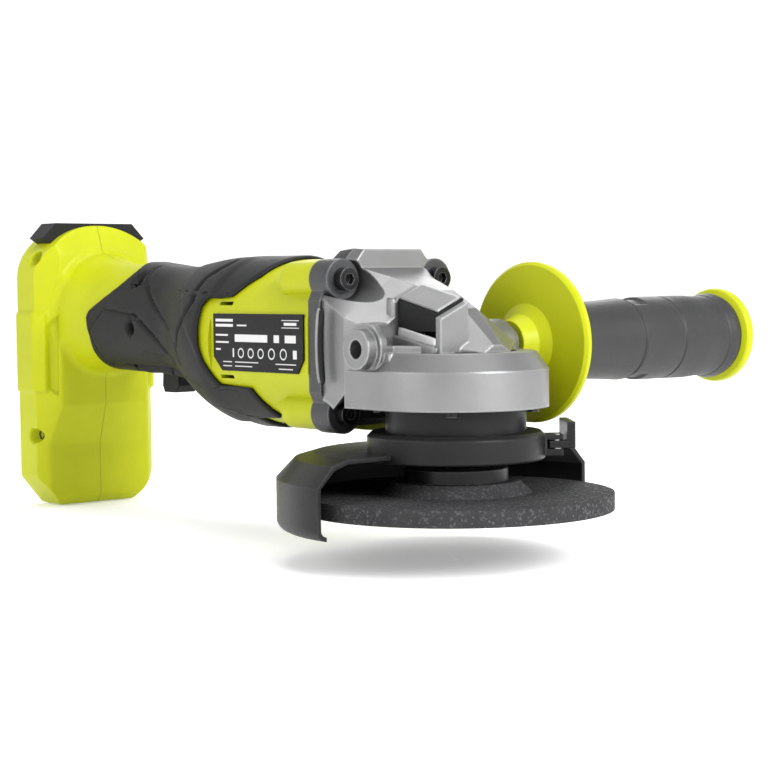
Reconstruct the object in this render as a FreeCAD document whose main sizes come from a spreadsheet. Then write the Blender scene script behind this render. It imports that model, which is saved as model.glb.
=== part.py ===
import FreeCAD, Part
import math
import os
import Sketcher

# Cordless angle grinder, 115 mm disc, in millimetres.
# Frame: the spindle axis is Z, the motor axis is X. X points to the front of the gear head,
# the side handle stands out along +Y, and Z = 0 is the working face of the grinding disc.

V = FreeCAD.Vector
doc = FreeCAD.newDocument("angle_grinder")

# ---------------------------------------------------------------- driving dimensions
SIZES = {
    "motor_axis": 59.0,          # height of the motor axis over the working face
    # grinding disc with a raised hub, and what clamps it
    "disc_radius": 57.5, "disc_thick": 6.0, "disc_bore": 11.1, "hub_radius": 22.5, "hub_rise": 4.4,
    "hub_cone": 4.5, "flange_radius": 19.0, "flange_boss": 11.0, "flange_top": 17.4,
    "nut_radius": 19.0, "nut_thick": 4.0, "nut_hole_circle": 15.0, "nut_hole": 2.5,
    # spindle
    "spindle_end": 0.2, "spindle_thread": 7.0, "spindle_shoulder": 8.5, "bearing_seat": 6.0,
    "gear_seat": 7.0, "spindle_neck": 5.0, "spindle_top": 70.0, "shoulder_top": 27.0,
    "seat_top": 38.0, "gear_top": 55.5, "neck_top": 60.5, "upper_seat": 4.0,
    # bevel gears: pitch radii from the module and the tooth counts
    "bevel_module": 1.1, "ring_teeth": 38.0, "pinion_teeth": 12.0, "ring_low": 47.0,
    "ring_inner": 13.8, "ring_outer": 21.4, "lock_hole_circle": 10.8, "lock_hole": 2.4,
    # bearings
    "lower_bearing_radius": 16.0, "lower_bearing_low": 27.0, "lower_bearing_thick": 10.0,
    "upper_bearing_radius": 7.0, "upper_bearing_low": 61.0, "upper_bearing_thick": 8.0,
    "motor_bearing_radius": 11.0, "motor_bearing_thick": 7.0,
    # bearing retainer under the gear case
    "retainer_radius": 31.0, "retainer_low": 37.3, "retainer_thick": 2.8, "neck_radius": 25.7,
    "neck_low": 19.0, "retainer_screw_circle": 28.0,
    # guard
    "guard_radius": 65.7, "guard_wall": 1.6, "guard_plate": 21.4, "guard_plate_flat": 52.0,
    "guard_plate_edge": 59.0, "guard_edge_height": 19.4, "guard_step": 12.4, "guard_bottom": -2.3,
    "guard_curl": 4.0, "guard_front": 1.7, "collar_radius": 32.5, "collar_bore": 26.0,
    "collar_low": 18.2, "collar_top": 28.4, "clamp_angle": 52.0, "clamp_pin": 1.6,
    # gear case
    "case_radius": 34.0, "case_low": 37.2, "case_base": 51.0, "case_shoulder": 57.4,
    "shoulder_radius": 29.4, "case_rear": -40.0, "boss_face": 37.0, "boss_radius": 7.3,
    "handle_hole": 3.4, "handle_x": -11.9, "handle_z": 58.8, "gear_room": 22.4,
    "pinion_room": 10.0, "case_screw_y": 22.9, "case_screw_rise": 25.0, "case_screw_x": -36.4,
    # spindle lock
    "button_rear": -8.0, "button_front": 13.4, "button_near": -20.0, "button_far": -8.0,
    "button_low": 65.0, "lock_pin": 2.0, "lock_pin_x": 4.0, "lock_pin_low": 57.3,
    # motor housing, grip and foot
    "barrel_radius": 33.0, "barrel_front": -47.0, "barrel_flat": 31.4,
    "overmould": 1.4, "slot_width": 13.1, "foot_front": -242.0, "foot_lower_front": -248.0,
    "foot_rear": -268.0,
    "foot_width": 31.0, "foot_low": -18.7, "foot_top": 110.0, "socket_width": 13.5,
    "socket_low": 54.0, "socket_top": 82.0, "socket_end": -228.0, "seat_depth": 2.4, "panel_rise": 1.8,
    # paddle switch
    "paddle_width": 12.5, "paddle_pivot_x": -118.0, "paddle_pivot_z": 31.0, "paddle_pin": 2.0,
    "lock_lever_width": 5.0, "lock_lever_x": -179.5, "lock_lever_z": 45.5,
    # side handle
    "handle_flange": 31.0, "handle_flange_y": 50.0, "handle_grip": 16.8, "handle_start": 38.0,
    "handle_end": 156.0, "handle_cap": 19.6, "handle_cap_end": 161.6, "stud_radius": 3.35,
    # running clearance of a shaft in a hole, and the play between pieces that pass each other
    "running": 0.04, "play": 0.3,
}

dims = doc.addObject("Spreadsheet::Sheet", "dims")
for row, (alias, number) in enumerate(SIZES.items(), start=1):
    dims.set(f"A{row}", alias)
    dims.set(f"B{row}", str(number))
    dims.setAlias(f"B{row}", alias)
doc.recompute()


class Size:
    """A length that keeps both its value and the formula that ties it to the sheet."""

    def __init__(self, value, text):
        self.value = float(value)
        self.text = text

    def _with(self, other, symbol, value):
        right = other.text if isinstance(other, Size) else repr(float(other))
        return Size(value, f"({self.text} {symbol} {right})")

    def _after(self, other, symbol, value):
        return Size(value, f"({float(other)!r} {symbol} {self.text})")

    def __float__(self):
        return self.value

    def __add__(self, other):
        return self._with(other, "+", self.value + float(other))

    def __sub__(self, other):
        return self._with(other, "-", self.value - float(other))

    def __mul__(self, other):
        return self._with(other, "*", self.value * float(other))

    def __truediv__(self, other):
        return self._with(other, "/", self.value / float(other))

    def __radd__(self, other):
        return self._after(other, "+", float(other) + self.value)

    def __rsub__(self, other):
        return self._after(other, "-", float(other) - self.value)

    def __rmul__(self, other):
        return self._after(other, "*", float(other) * self.value)

    def __neg__(self):
        return self._after(0, "-", -self.value)


class Sheet:
    """Reads a driving dimension by its alias, as a Size."""

    def __getattr__(self, alias):
        return Size(getattr(dims, alias), f"dims.{alias}")


D = Sheet()
nodes = {}

AXIS_TURNS = {
    "Z": FreeCAD.Rotation(),
    "X": FreeCAD.Rotation(V(1, 1, 1), 120),      # own Z becomes X, own X becomes Y
    "Y": FreeCAD.Rotation(V(1, 0, 0), -90),      # own Z becomes Y
    "side": FreeCAD.Rotation(V(1, 0, 0), 90),    # own Y becomes Z, own Z becomes -Y
}


# ---------------------------------------------------------------- building blocks
def bind(item, name, size):
    """Sets a property to a number, or ties it to the sheet when it is a Size."""
    if isinstance(size, Size):
        item.setExpression(name, size.text)
    else:
        setattr(item, name, float(size))


def place(item, at, turn="Z"):
    """Puts an object at a point given by numbers or Sizes, turned onto an axis."""
    item.Placement = FreeCAD.Placement(V(*[float(step) for step in at]), AXIS_TURNS[turn])
    for letter, step in zip("xyz", at):
        if isinstance(step, Size):
            item.setExpression(f".Placement.Base.{letter}", step.text)


def cylinder(radius, length, at=(0, 0, 0), axis="Z", name="round"):
    item = doc.addObject("Part::Cylinder", name)
    bind(item, "Radius", radius)
    bind(item, "Height", length)
    place(item, at, axis)
    return item


def cone(low_radius, high_radius, length, at=(0, 0, 0), axis="Z", name="taper"):
    item = doc.addObject("Part::Cone", name)
    bind(item, "Radius1", low_radius)
    bind(item, "Radius2", high_radius)
    bind(item, "Height", length)
    place(item, at, axis)
    return item


def block(low, high, name="block"):
    """A box between two corners."""
    item = doc.addObject("Part::Box", name)
    for side, start, end in zip(("Length", "Width", "Height"), low, high):
        bind(item, side, end - start)
    place(item, low)
    return item


def fuse(pieces, name="joined"):
    item = doc.addObject("Part::MultiFuse", name)
    item.Shapes = pieces
    item.Refine = True
    return item


def common(pieces, name="shared"):
    item = doc.addObject("Part::MultiCommon", name)
    item.Shapes = pieces
    return item


def cut(base, tools, name="cut"):
    item = doc.addObject("Part::Cut", name)
    item.Base = base
    item.Tool = tools[0] if len(tools) == 1 else fuse(tools, name + "_tools")
    item.Refine = True
    return item


def group(pieces, name="group"):
    """Several separate solids in one node, such as a set of equal screws."""
    item = doc.addObject("Part::Compound", name)
    item.Links = pieces
    return item


def free_shape(shape, name="shape"):
    """A piece that needs Part's own functions; its sizes were read from the sheet."""
    item = doc.addObject("Part::Feature", name)
    item.Shape = shape
    return item


def node(name, item):
    item.Label = name
    nodes[name] = item
    return item


def corner_sketch(body, corners, plane_role, name):
    """A closed outline whose every corner is tied to the sheet."""
    sketch = body.newObject("Sketcher::SketchObject", name)
    plane = [item for item in body.Origin.OriginFeatures if item.Role == plane_role][0]
    sketch.AttachmentSupport = [(plane, "")]
    sketch.MapMode = "FlatFace"
    points = [V(float(x), float(y), 0) for x, y in corners]
    count = len(points)
    for index in range(count):
        sketch.addGeometry(Part.LineSegment(points[index], points[(index + 1) % count]), False)
    for index in range(count):
        sketch.addConstraint(Sketcher.Constraint("Coincident", index, 2, (index + 1) % count, 1))
    for index, corner in enumerate(corners):
        for kind, axis_line, size in (("DistanceX", -2, corner[0]), ("DistanceY", -1, corner[1])):
            if float(size) == 0.0:
                sketch.addConstraint(Sketcher.Constraint("PointOnObject", index, 1, axis_line))
                continue
            number = sketch.addConstraint(Sketcher.Constraint(kind, -1, 1, index, 1, float(size)))
            if isinstance(size, Size):
                sketch.setExpression(f"Constraints[{number}]", size.text)
    return sketch


def turned(profile, at=(0, 0, 0), axis="Z", name="turned"):
    """A body turned about its own Z from corners of (radius, distance along the axis)."""
    body = doc.addObject("PartDesign::Body", name)
    sketch = corner_sketch(body, profile, "XZ_Plane", name + "_profile")
    lathe = body.newObject("PartDesign::Revolution", name + "_turn")
    lathe.Profile = sketch
    lathe.ReferenceAxis = (sketch, ["V_Axis"])
    lathe.Angle = 360
    body.Tip = lathe
    place(body, at, axis)
    return body


def plate(outline, thickness, at=(0, 0, 0), axis="Z", name="plate"):
    """A body padded from an outline in its own XY plane."""
    body = doc.addObject("PartDesign::Body", name)
    sketch = corner_sketch(body, outline, "XY_Plane", name + "_outline")
    pad = body.newObject("PartDesign::Pad", name + "_pad")
    pad.Profile = sketch
    bind(pad, "Length", thickness)
    body.Tip = pad
    place(body, at, axis)
    return body


def side_plate(outline, half_width, name="side_plate"):
    """An outline of (X, Z) padded evenly to both sides of the XZ plane."""
    return plate(outline, half_width * 2, (0, half_width, 0), "side", name)


def bearing(outer, inner, thickness, at, axis, name):
    """A ball bearing in one piece: two races with a shallow groove in each face."""
    ring = cylinder(outer, thickness, at, axis)
    bore = cylinder(inner, thickness, at, axis)
    middle = (outer + inner) / 2
    shift = {"X": 0, "Y": 1, "Z": 2}[axis]
    tools = [bore]
    for end in (0, 1):
        spot = list(at)
        spot[shift] = spot[shift] + (thickness - 0.6 if end else 0)
        groove = cut(cylinder(middle + 1.6, 0.6, spot, axis), [cylinder(middle - 1.6, 0.6, spot, axis)])
        tools.append(groove)
    return cut(ring, tools, name)


def hex_hole(radius, depth, at, axis):
    """A hexagonal key hole."""
    corners = [(radius * math.cos(math.radians(60 * k)), radius * math.sin(math.radians(60 * k)))
               for k in range(6)]
    return plate(corners, depth, at, axis, "key_hole")


def polar(radius, degrees):
    return radius * math.cos(math.radians(degrees)), radius * math.sin(math.radians(degrees))


# ---------------------------------------------------------------- disc, flanges and nut
hub_under = D.hub_rise
hub_top = D.hub_rise + D.disc_thick
disc_profile = [
    (D.disc_bore, hub_under), (D.hub_radius, hub_under), (D.hub_radius + D.hub_cone, 0),
    (D.disc_radius, 0), (D.disc_radius, D.disc_thick), (D.hub_radius + D.hub_cone + 0.5, D.disc_thick),
    (D.hub_radius + 0.5, hub_top), (D.disc_bore, hub_top)]
node("grinding_disc", turned(disc_profile, name="grinding_disc"))

flange_bore = D.spindle_thread + D.running
inner_flange = turned([
    (flange_bore, hub_top - 1.6), (D.flange_boss, hub_top - 1.6), (D.flange_boss, hub_top),
    (D.flange_radius, hub_top), (D.flange_radius, D.flange_top - 2.4),
    (D.flange_radius - 1.2, D.flange_top - 1.2), (D.flange_radius - 5, D.flange_top - 1.2),
    (D.flange_radius - 6, D.flange_top), (flange_bore, D.flange_top)], name="inner_flange")
node("inner_flange", inner_flange)

nut_face = hub_under - D.nut_thick
nut_blank = turned([
    (flange_bore, nut_face), (D.nut_radius - 0.8, nut_face), (D.nut_radius, nut_face + 0.8),
    (D.nut_radius, hub_under), (flange_bore, hub_under)], name="nut_blank")
nut_holes = []
for quarter in range(4):
    x, y = polar(1.0, 45 + 90 * quarter)
    nut_holes.append(cylinder(D.nut_hole, 2.6, (D.nut_hole_circle * x, D.nut_hole_circle * y, nut_face)))
node("lock_nut", cut(nut_blank, nut_holes, "lock_nut"))

# ---------------------------------------------------------------- spindle and its bearings
node("spindle", turned([
    (0, D.spindle_end), (D.spindle_thread - 0.8, D.spindle_end), (D.spindle_thread, D.spindle_end + 0.8),
    (D.spindle_thread, D.flange_top), (D.spindle_shoulder, D.flange_top),
    (D.spindle_shoulder, D.shoulder_top), (D.bearing_seat, D.shoulder_top),
    (D.bearing_seat, D.seat_top), (D.gear_seat, D.seat_top), (D.gear_seat, D.gear_top),
    (D.spindle_neck, D.gear_top), (D.spindle_neck, D.neck_top), (D.upper_seat, D.neck_top),
    (D.upper_seat, D.spindle_top - 0.6), (D.upper_seat - 0.6, D.spindle_top), (0, D.spindle_top)],
    name="spindle"))
node("lower_spindle_bearing", bearing(
    D.lower_bearing_radius, D.bearing_seat + D.running, D.lower_bearing_thick,
    [0, 0, D.lower_bearing_low + 0.1], "Z", "lower_spindle_bearing"))
node("upper_spindle_bearing", cut(
    cylinder(D.upper_bearing_radius, D.upper_bearing_thick, (0, 0, D.upper_bearing_low)),
    [cylinder(D.upper_seat + D.running, D.upper_bearing_thick, (0, 0, D.upper_bearing_low))],
    "upper_spindle_bearing"))


# ---------------------------------------------------------------- bevel gears
def star(teeth, root, tip, centred_on_tooth):
    """Corners of a toothed outline; a tooth fills 36 percent of its pitch at half height."""
    pitch = 2 * math.pi / teeth
    offset = 0.0 if centred_on_tooth else pitch / 2
    corners = []
    for tooth in range(teeth):
        middle = offset + tooth * pitch
        for step, radius in ((-0.25, root), (-0.11, tip), (0.11, tip), (0.25, root)):
            angle = middle + step * pitch
            corners.append((radius * math.cos(angle), radius * math.sin(angle)))
    return corners


def tapered_teeth(corners, at_distance, near, far):
    """The outline swept from one distance to another along straight lines to the common apex."""
    wires = []
    for distance in (near, far):
        scale = distance / at_distance
        points = [V(x * scale, y * scale, distance) for x, y in corners]
        wires.append(Part.makePolygon(points + points[:1]))
    return Part.makeLoft(wires, True, True)


ring_pitch = float(D.bevel_module * D.ring_teeth / 2)
pinion_pitch = float(D.bevel_module * D.pinion_teeth / 2)
cone_angle = math.atan2(ring_pitch, pinion_pitch)
cone_length = math.hypot(ring_pitch, pinion_pitch)
addendum = math.atan2(0.8 * float(D.bevel_module), cone_length)
dedendum = math.atan2(1.15 * float(D.bevel_module), cone_length)
apex = float(D.motor_axis)

ring_corners = star(int(float(D.ring_teeth)), pinion_pitch * math.tan(cone_angle - dedendum),
                    pinion_pitch * math.tan(cone_angle + addendum), False)
ring_low = apex - float(D.ring_low)
ring_teeth = tapered_teeth(ring_corners, pinion_pitch, ring_low, 3.2)
ring_teeth.rotate(V(0, 0, 0), V(1, 0, 0), 180)          # the apex distance now runs downwards
ring_teeth.translate(V(0, 0, apex))
tooth_ring = free_shape(ring_teeth, "ring_tooth_cone")
tooth_zone = cut(cylinder(D.ring_outer, D.gear_top - D.ring_low, (0, 0, D.ring_low)),
                 [cylinder(D.ring_inner, D.gear_top - D.ring_low, (0, 0, D.ring_low))], "tooth_zone")
ring_body = turned([
    (D.gear_seat + 0.01, D.ring_low - 4), (D.ring_inner - 1, D.ring_low - 4),
    (D.ring_outer, D.ring_low), (D.ring_outer, D.ring_low + 2), (D.ring_inner + 0.2, D.ring_low + 4.2),
    (D.ring_inner + 0.2, D.gear_top - 1), (D.ring_inner - 0.2, D.gear_top), (D.gear_seat + 0.01, D.gear_top)],
    name="ring_body")
lock_holes = []
for quarter in range(4):
    angle = math.degrees(math.atan2(-10.0, float(D.lock_pin_x))) + 90 * quarter
    x, y = polar(1.0, angle)
    lock_holes.append(cylinder(D.lock_hole, 5, (D.lock_hole_circle * x, D.lock_hole_circle * y,
                                                D.gear_top - 4)))
node("ring_gear", cut(fuse([common([tooth_ring, tooth_zone]), ring_body]), lock_holes, "ring_gear"))

pinion_corners = star(int(float(D.pinion_teeth)), ring_pitch * math.tan(math.pi / 2 - cone_angle - dedendum),
                      ring_pitch * math.tan(math.pi / 2 - cone_angle + addendum), True)
pinion_shape = tapered_teeth(pinion_corners, ring_pitch, 14.2, 22.0)
pinion_shape.rotate(V(0, 0, 0), V(0, 1, 0), -90)        # the apex distance now runs along -X
pinion_shape.translate(V(0, 0, apex))
pinion_teeth = free_shape(pinion_shape, "pinion_tooth_cone")
shaft_radius = D.upper_seat
pinion_hub = cylinder(5.2, 8, (-30, 0, D.motor_axis), "X")
node("drive_pinion", cut(fuse([pinion_teeth, pinion_hub]),
                         [cylinder(shaft_radius * 0.75, 30, (-40, 0, D.motor_axis), "X")], "drive_pinion"))

# ---------------------------------------------------------------- bearing retainer and seal
retainer_top = D.retainer_low + D.retainer_thick
retainer_blank = turned([
    (D.spindle_shoulder + 0.6, D.neck_low), (D.neck_radius - 0.8, D.neck_low),
    (D.neck_radius, D.neck_low + 0.8), (D.neck_radius, D.retainer_low),
    (D.retainer_radius, D.retainer_low), (D.retainer_radius, retainer_top),
    (D.lower_bearing_radius, retainer_top), (D.lower_bearing_radius, D.lower_bearing_low),
    (D.spindle_shoulder + 3.5, D.lower_bearing_low), (D.spindle_shoulder + 3.5, D.neck_low + 2),
    (D.spindle_shoulder + 0.6, D.neck_low + 2)], name="retainer_blank")
retainer_holes = []
retainer_screws = []
for quarter in range(4):
    x, y = polar(1.0, 45 + 90 * quarter)
    centre_x = D.retainer_screw_circle * x
    centre_y = D.retainer_screw_circle * y
    retainer_holes.append(cylinder(2.1, D.retainer_thick, (centre_x, centre_y, D.retainer_low)))
    head = cylinder(2.2, 2.2, (centre_x, centre_y, D.retainer_low - 2.2))
    shank = cylinder(2.0, 9, (centre_x, centre_y, D.retainer_low))
    slot = hex_hole(1.5, 1.4, (centre_x, centre_y, D.retainer_low - 2.2), "Z")
    retainer_screws.append(cut(fuse([head, shank]), [slot]))
node("bearing_retainer", cut(retainer_blank, retainer_holes, "bearing_retainer"))
node("retainer_screws", group(retainer_screws, "retainer_screws"))
node("dust_seal", turned([
    (D.spindle_shoulder + D.running, D.neck_low + 2.2), (D.spindle_shoulder + 3.4, D.neck_low + 2.2),
    (D.spindle_shoulder + 3.4, D.lower_bearing_low - 0.2),
    (D.spindle_shoulder + D.running, D.lower_bearing_low - 0.2)], name="dust_seal"))


# ---------------------------------------------------------------- gear case
def section_loft(sections):
    """Straight-sided solid through outlines of (Y, Z) corners at their X stations."""
    wires = []
    for station, corners in sections:
        points = [V(station, y, z) for y, z in corners]
        wires.append(Part.makePolygon(points + points[:1]))
    return Part.makeLoft(wires, True, True)


def head_section(low, wide, wall_top, narrow, top):
    """Half widths at the foot and the top of one cross-section of the gear head."""
    return [(-wide, low), (-wide, wall_top), (-narrow, top), (narrow, top), (wide, wall_top), (wide, low)]


base_low = D.case_low
base_box_rear = -22.3
base = fuse([cylinder(D.case_radius, D.case_base - D.case_low, (0, 0, D.case_low)),
             block((base_box_rear, -D.case_radius, D.case_low), (0, D.case_radius, D.case_base))])
bevel = fuse([cone(D.case_radius, D.shoulder_radius, D.case_shoulder - D.case_base, (0, 0, D.case_base)),
              side_plate([(base_box_rear, D.case_base), (0, D.case_base), (0, D.case_shoulder),
                          (base_box_rear, D.case_shoulder)], D.shoulder_radius + 2)])
rear = float(D.case_rear)
head = free_shape(section_loft([
    (rear, head_section(31.0, 30.0, 77.0, 20.0, 90.0)),
    (-24.0, head_section(42.0, 32.6, 70.0, 9.5, 84.5)),
    (-6.0, head_section(50.0, 29.0, 64.0, 5.0, 79.5)),
    (8.0, head_section(52.0, 22.0, 60.5, 3.2, 73.0)),
    (22.5, head_section(55.0, 6.0, 57.6, 2.0, 60.0))]), "head_shape")
ridge = free_shape(section_loft([
    (rear, head_section(80.0, 20.4, 89.4, 14.6, 95.4)),
    (rear + 5.5, head_section(80.0, 19.5, 88.5, 14.0, 95.0))]), "ridge_shape")
pocket_rise = 0.434
pocket_fall = -0.237


def button_top(x, y, drop=0.0):
    """Height of the sloping top of the lock button, and of the rim around its pocket."""
    return 71.5 + pocket_fall * (x - float(D.button_front)) + pocket_rise * (y - float(D.button_near)) - drop


def pocket_block(x_low, x_high, y_low, y_high, z_low, drop):
    sections = []
    for x in (x_low, x_high):
        sections.append((x, [(y_low, z_low), (y_low, button_top(x, y_low, drop)),
                             (y_high, button_top(x, y_high, drop)), (y_high, z_low)]))
    return section_loft(sections)


pocket_wall = free_shape(pocket_block(-11.5, 16.5, -21.6, -8.6, 55.0, 0.6), "pocket_wall")
bosses = []
boss_holes = []
for side in (-1, 1):
    near = D.boss_face * side if side < 0 else D.boss_face - 15
    bosses.append(cylinder(D.boss_radius, 15, (D.handle_x, near, D.handle_z), "Y"))
    near = -D.boss_face + 4 if side < 0 else D.boss_face - 19
    bosses.append(cylinder(D.boss_radius + 2.2, 15, (D.handle_x, near, D.handle_z), "Y"))
    near = -D.boss_face if side < 0 else D.boss_face - 13
    boss_holes.append(cylinder(D.handle_hole, 13, (D.handle_x, near, D.handle_z), "Y"))
case_solid = fuse([base, bevel, head, ridge, pocket_wall] + bosses, "case_solid")

rooms = [
    cylinder(D.gear_room, D.case_shoulder - D.case_low, (0, 0, D.case_low)),
    cylinder(D.retainer_radius + D.play, D.retainer_thick + 0.1, (0, 0, D.case_low)),
    cylinder(D.pinion_room, 31.5, (rear - 0.5, 0, D.motor_axis), "X"),
    cylinder(D.upper_bearing_radius, D.upper_bearing_thick + D.upper_bearing_low - D.case_shoulder,
             (0, 0, D.case_shoulder)),
    cylinder(D.upper_seat + 1, 3, (0, 0, D.upper_bearing_low + D.upper_bearing_thick)),
    cylinder(D.lock_pin + 0.4, 12, (D.lock_pin_x, -10, D.case_shoulder - 1)),
    block((D.button_rear - 0.5, -30, D.button_low - 5), (D.button_front + 0.5, D.button_far + 0.7, 100)),
]
for side in (-1, 1):
    for rise in (-1, 1):
        rooms.append(cylinder(8.6, 24, (rear - 1, D.case_screw_y * side,
                                        D.motor_axis + D.case_screw_rise * rise), "X"))
for quarter in range(4):
    x, y = polar(1.0, 45 + 90 * quarter)
    rooms.append(cylinder(2.05, 8, (D.retainer_screw_circle * x, D.retainer_screw_circle * y,
                                    D.case_low + D.retainer_thick)))
node("gear_case", cut(case_solid, rooms + boss_holes, "gear_case"))

# ---------------------------------------------------------------- spindle lock
button_shape = free_shape(pocket_block(float(D.button_rear), float(D.button_front), float(D.button_near),
                                       float(D.button_far), float(D.button_low), 0.0), "button_shape")
button_pin = cylinder(D.lock_pin, D.button_low - D.lock_pin_low + 1, (D.lock_pin_x, -10, D.lock_pin_low))
node("spindle_lock_button", fuse([button_shape, button_pin], "spindle_lock_button"))
COIL_RADIUS = 2.36
COIL_WIRE = 0.3
COIL_RISE = 1.2              # a turn
COIL_STEPS = 16              # sections a turn
coil_rings = []
for step in range(3 * COIL_STEPS + 1):
    angle = 2 * math.pi * step / COIL_STEPS
    middle = V(COIL_RADIUS * math.cos(angle), COIL_RADIUS * math.sin(angle), COIL_RISE * step / COIL_STEPS)
    along = V(-math.sin(angle), math.cos(angle), COIL_RISE / (2 * math.pi * COIL_RADIUS))
    coil_rings.append(Part.Wire([Part.makeCircle(COIL_WIRE, middle, along)]))
coil = Part.makeLoft(coil_rings, True, True)
coil.translate(V(float(D.lock_pin_x), -10, float(D.button_low) - 4.3))
node("lock_button_spring", free_shape(coil, "lock_button_spring"))

# ---------------------------------------------------------------- gearbox adapter and its screws
adapter_rear = D.barrel_front
adapter_thick = D.case_rear - D.barrel_front
adapter_outline = [(-31, 42), (-26, 31), (-18, 29), (18, 29), (26, 31), (31, 42),
                   (31, 76), (26, 87), (18, 89.5), (-18, 89.5), (-26, 87), (-31, 76)]
adapter_plate = plate(adapter_outline, adapter_thick - 0.02, (adapter_rear, 0, 0), "X", "adapter_plate")
ears = []
ear_holes = []
gearbox_screws = []
ear_length = D.case_screw_x - D.barrel_front
for side in (-1, 1):
    for rise in (-1, 1):
        y = D.case_screw_y * side
        z = D.motor_axis + D.case_screw_rise * rise
        ears.append(cylinder(7.6, ear_length, (D.barrel_front, y, z), "X"))
        ear_holes.append(cylinder(2.6, ear_length, (D.barrel_front, y, z), "X"))
        head = cylinder(4.3, 4.2, (D.case_screw_x, y, z), "X")
        shank = cylinder(2.5, 22, (D.case_screw_x - 22, y, z), "X")
        key = hex_hole(2.2, 2.4, (D.case_screw_x + 1.8, y, z), "X")
        gearbox_screws.append(cut(fuse([head, shank]), [key]))
bearing_room = cylinder(D.motor_bearing_radius, D.motor_bearing_thick, (D.barrel_front, 0, D.motor_axis), "X")
adapter_ridge = free_shape(section_loft([
    (float(D.barrel_front), head_section(80.0, 21.2, 89.8, 15.4, 94.6)),
    (rear - 0.02, head_section(80.0, 20.4, 89.4, 14.6, 95.4))]), "adapter_ridge")
adapter_blank = fuse([adapter_plate, adapter_ridge] + ears)
node("gearbox_adapter", cut(adapter_blank, ear_holes + [bearing_room], "gearbox_adapter"))
node("gearbox_screws", group(gearbox_screws, "gearbox_screws"))

# ---------------------------------------------------------------- motor
shaft_rear = -131.0
node("rotor_shaft", fuse([
    cylinder(shaft_radius * 0.75, 26, (-40, 0, D.motor_axis), "X"),
    cylinder(shaft_radius, 90.9, (-130.9, 0, D.motor_axis), "X")], "rotor_shaft"))
node("front_motor_bearing", bearing(
    D.motor_bearing_radius, D.upper_seat + D.running, D.motor_bearing_thick - 0.02,
    [D.barrel_front, 0, D.motor_axis], "X", "front_motor_bearing"))
node("rear_motor_bearing", bearing(
    D.motor_bearing_radius, D.upper_seat + D.running, D.motor_bearing_thick,
    [shaft_rear, 0, D.motor_axis], "X", "rear_motor_bearing"))
core_slots = []
for slot in range(12):
    gap = block((-102, -1.1, 12), (-64, 1.1, 20), "core_slot")
    spin = FreeCAD.Placement(V(0, 0, float(D.motor_axis)), FreeCAD.Rotation(V(1, 0, 0), 30 * slot + 15))
    gap.Placement = spin.multiply(gap.Placement)
    core_slots.append(gap)
node("armature_core", cut(
    cylinder(18.8, 34, (-100, 0, D.motor_axis), "X"),
    core_slots + [cylinder(shaft_radius + 0.01, 34, (-100, 0, D.motor_axis), "X")], "armature_core"))


def motor_ring(profile, name):
    return turned(profile, (0, 0, D.motor_axis), "X", name)


bore = shaft_radius + 0.01
windings = []
for start, end in ((-66, -61), (-107, -100)):
    windings.append(motor_ring([
        (bore, start), (13.5, start), (16.5, start + 1.2), (16.5, end - 1.2), (13.5, end), (bore, end)],
        "end_turns"))
node("armature_windings", group(windings, "armature_windings"))
commutator_slots = []
for bar in range(12):
    gap = block((-121.5, -0.3, 8.0), (-111, 0.3, 9.5), "bar_gap")
    spin = FreeCAD.Placement(V(0, 0, float(D.motor_axis)), FreeCAD.Rotation(V(1, 0, 0), 30 * bar))
    gap.Placement = spin.multiply(gap.Placement)
    commutator_slots.append(gap)
commutator_blank = motor_ring([
    (bore, -121), (9, -121), (9, -111.5), (10.4, -111.5), (10.4, -109), (bore, -109)], "commutator_blank")
node("commutator", cut(commutator_blank, commutator_slots, "commutator"))

fan_disc = motor_ring([(bore, -58), (6.5, -58), (6.5, -50.5), (9, -50.5), (25.5, -49.6), (25.5, -48.4),
                       (bore, -48.4)], "fan_disc")
blades = []
for blade in range(9):
    vane = block((-57.5, -0.7, 11), (-49, 0.7, 25), "vane")
    tilt = FreeCAD.Placement(V(0, 0, float(D.motor_axis)), FreeCAD.Rotation(V(1, 0, 0), 40 * blade))
    lean = FreeCAD.Placement(V(0, 0, 0), FreeCAD.Rotation(V(1, 0, 0), 18), V(0, 0, 18))
    vane.Placement = tilt.multiply(lean).multiply(vane.Placement)
    blades.append(vane)
node("cooling_fan", fuse([fan_disc] + blades, "cooling_fan"))

node("motor_can", cut(cylinder(26.5, 47, (-108, 0, D.motor_axis), "X"),
                      [cylinder(24.5, 47, (-108, 0, D.motor_axis), "X")], "motor_can"))
magnet_ring = cut(cylinder(24.48, 36, (-101, 0, D.motor_axis), "X"),
                  [cylinder(19.4, 36, (-101, 0, D.motor_axis), "X"),
                   block((-102, -30, D.motor_axis - 6), (-64, 30, D.motor_axis + 6))], "magnet_ring")
node("stator_magnets", magnet_ring)

brush_ring = cut(cylinder(18.2, 11, (-120.4, 0, D.motor_axis), "X"),
                 [cylinder(11.2, 11, (-120.4, 0, D.motor_axis), "X"),
                  block((-119.1, -19, D.motor_axis - 3.1), (-112.9, 19, D.motor_axis + 3.1))], "brush_holder")
node("brush_holder", brush_ring)
brushes = []
brush_springs = []
for side in (-1, 1):
    start = 9.15 if side > 0 else -15.0
    brushes.append(block((-119, start, D.motor_axis - 3), (-113, start + 5.85, D.motor_axis + 3), "brush"))
    start = 15.05 if side > 0 else -18.1
    brush_springs.append(cylinder(2.2, 3.05, (-116, start, D.motor_axis), "Y"))
node("carbon_brushes", group(brushes, "carbon_brushes"))
node("brush_springs", group(brush_springs, "brush_springs"))


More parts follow.
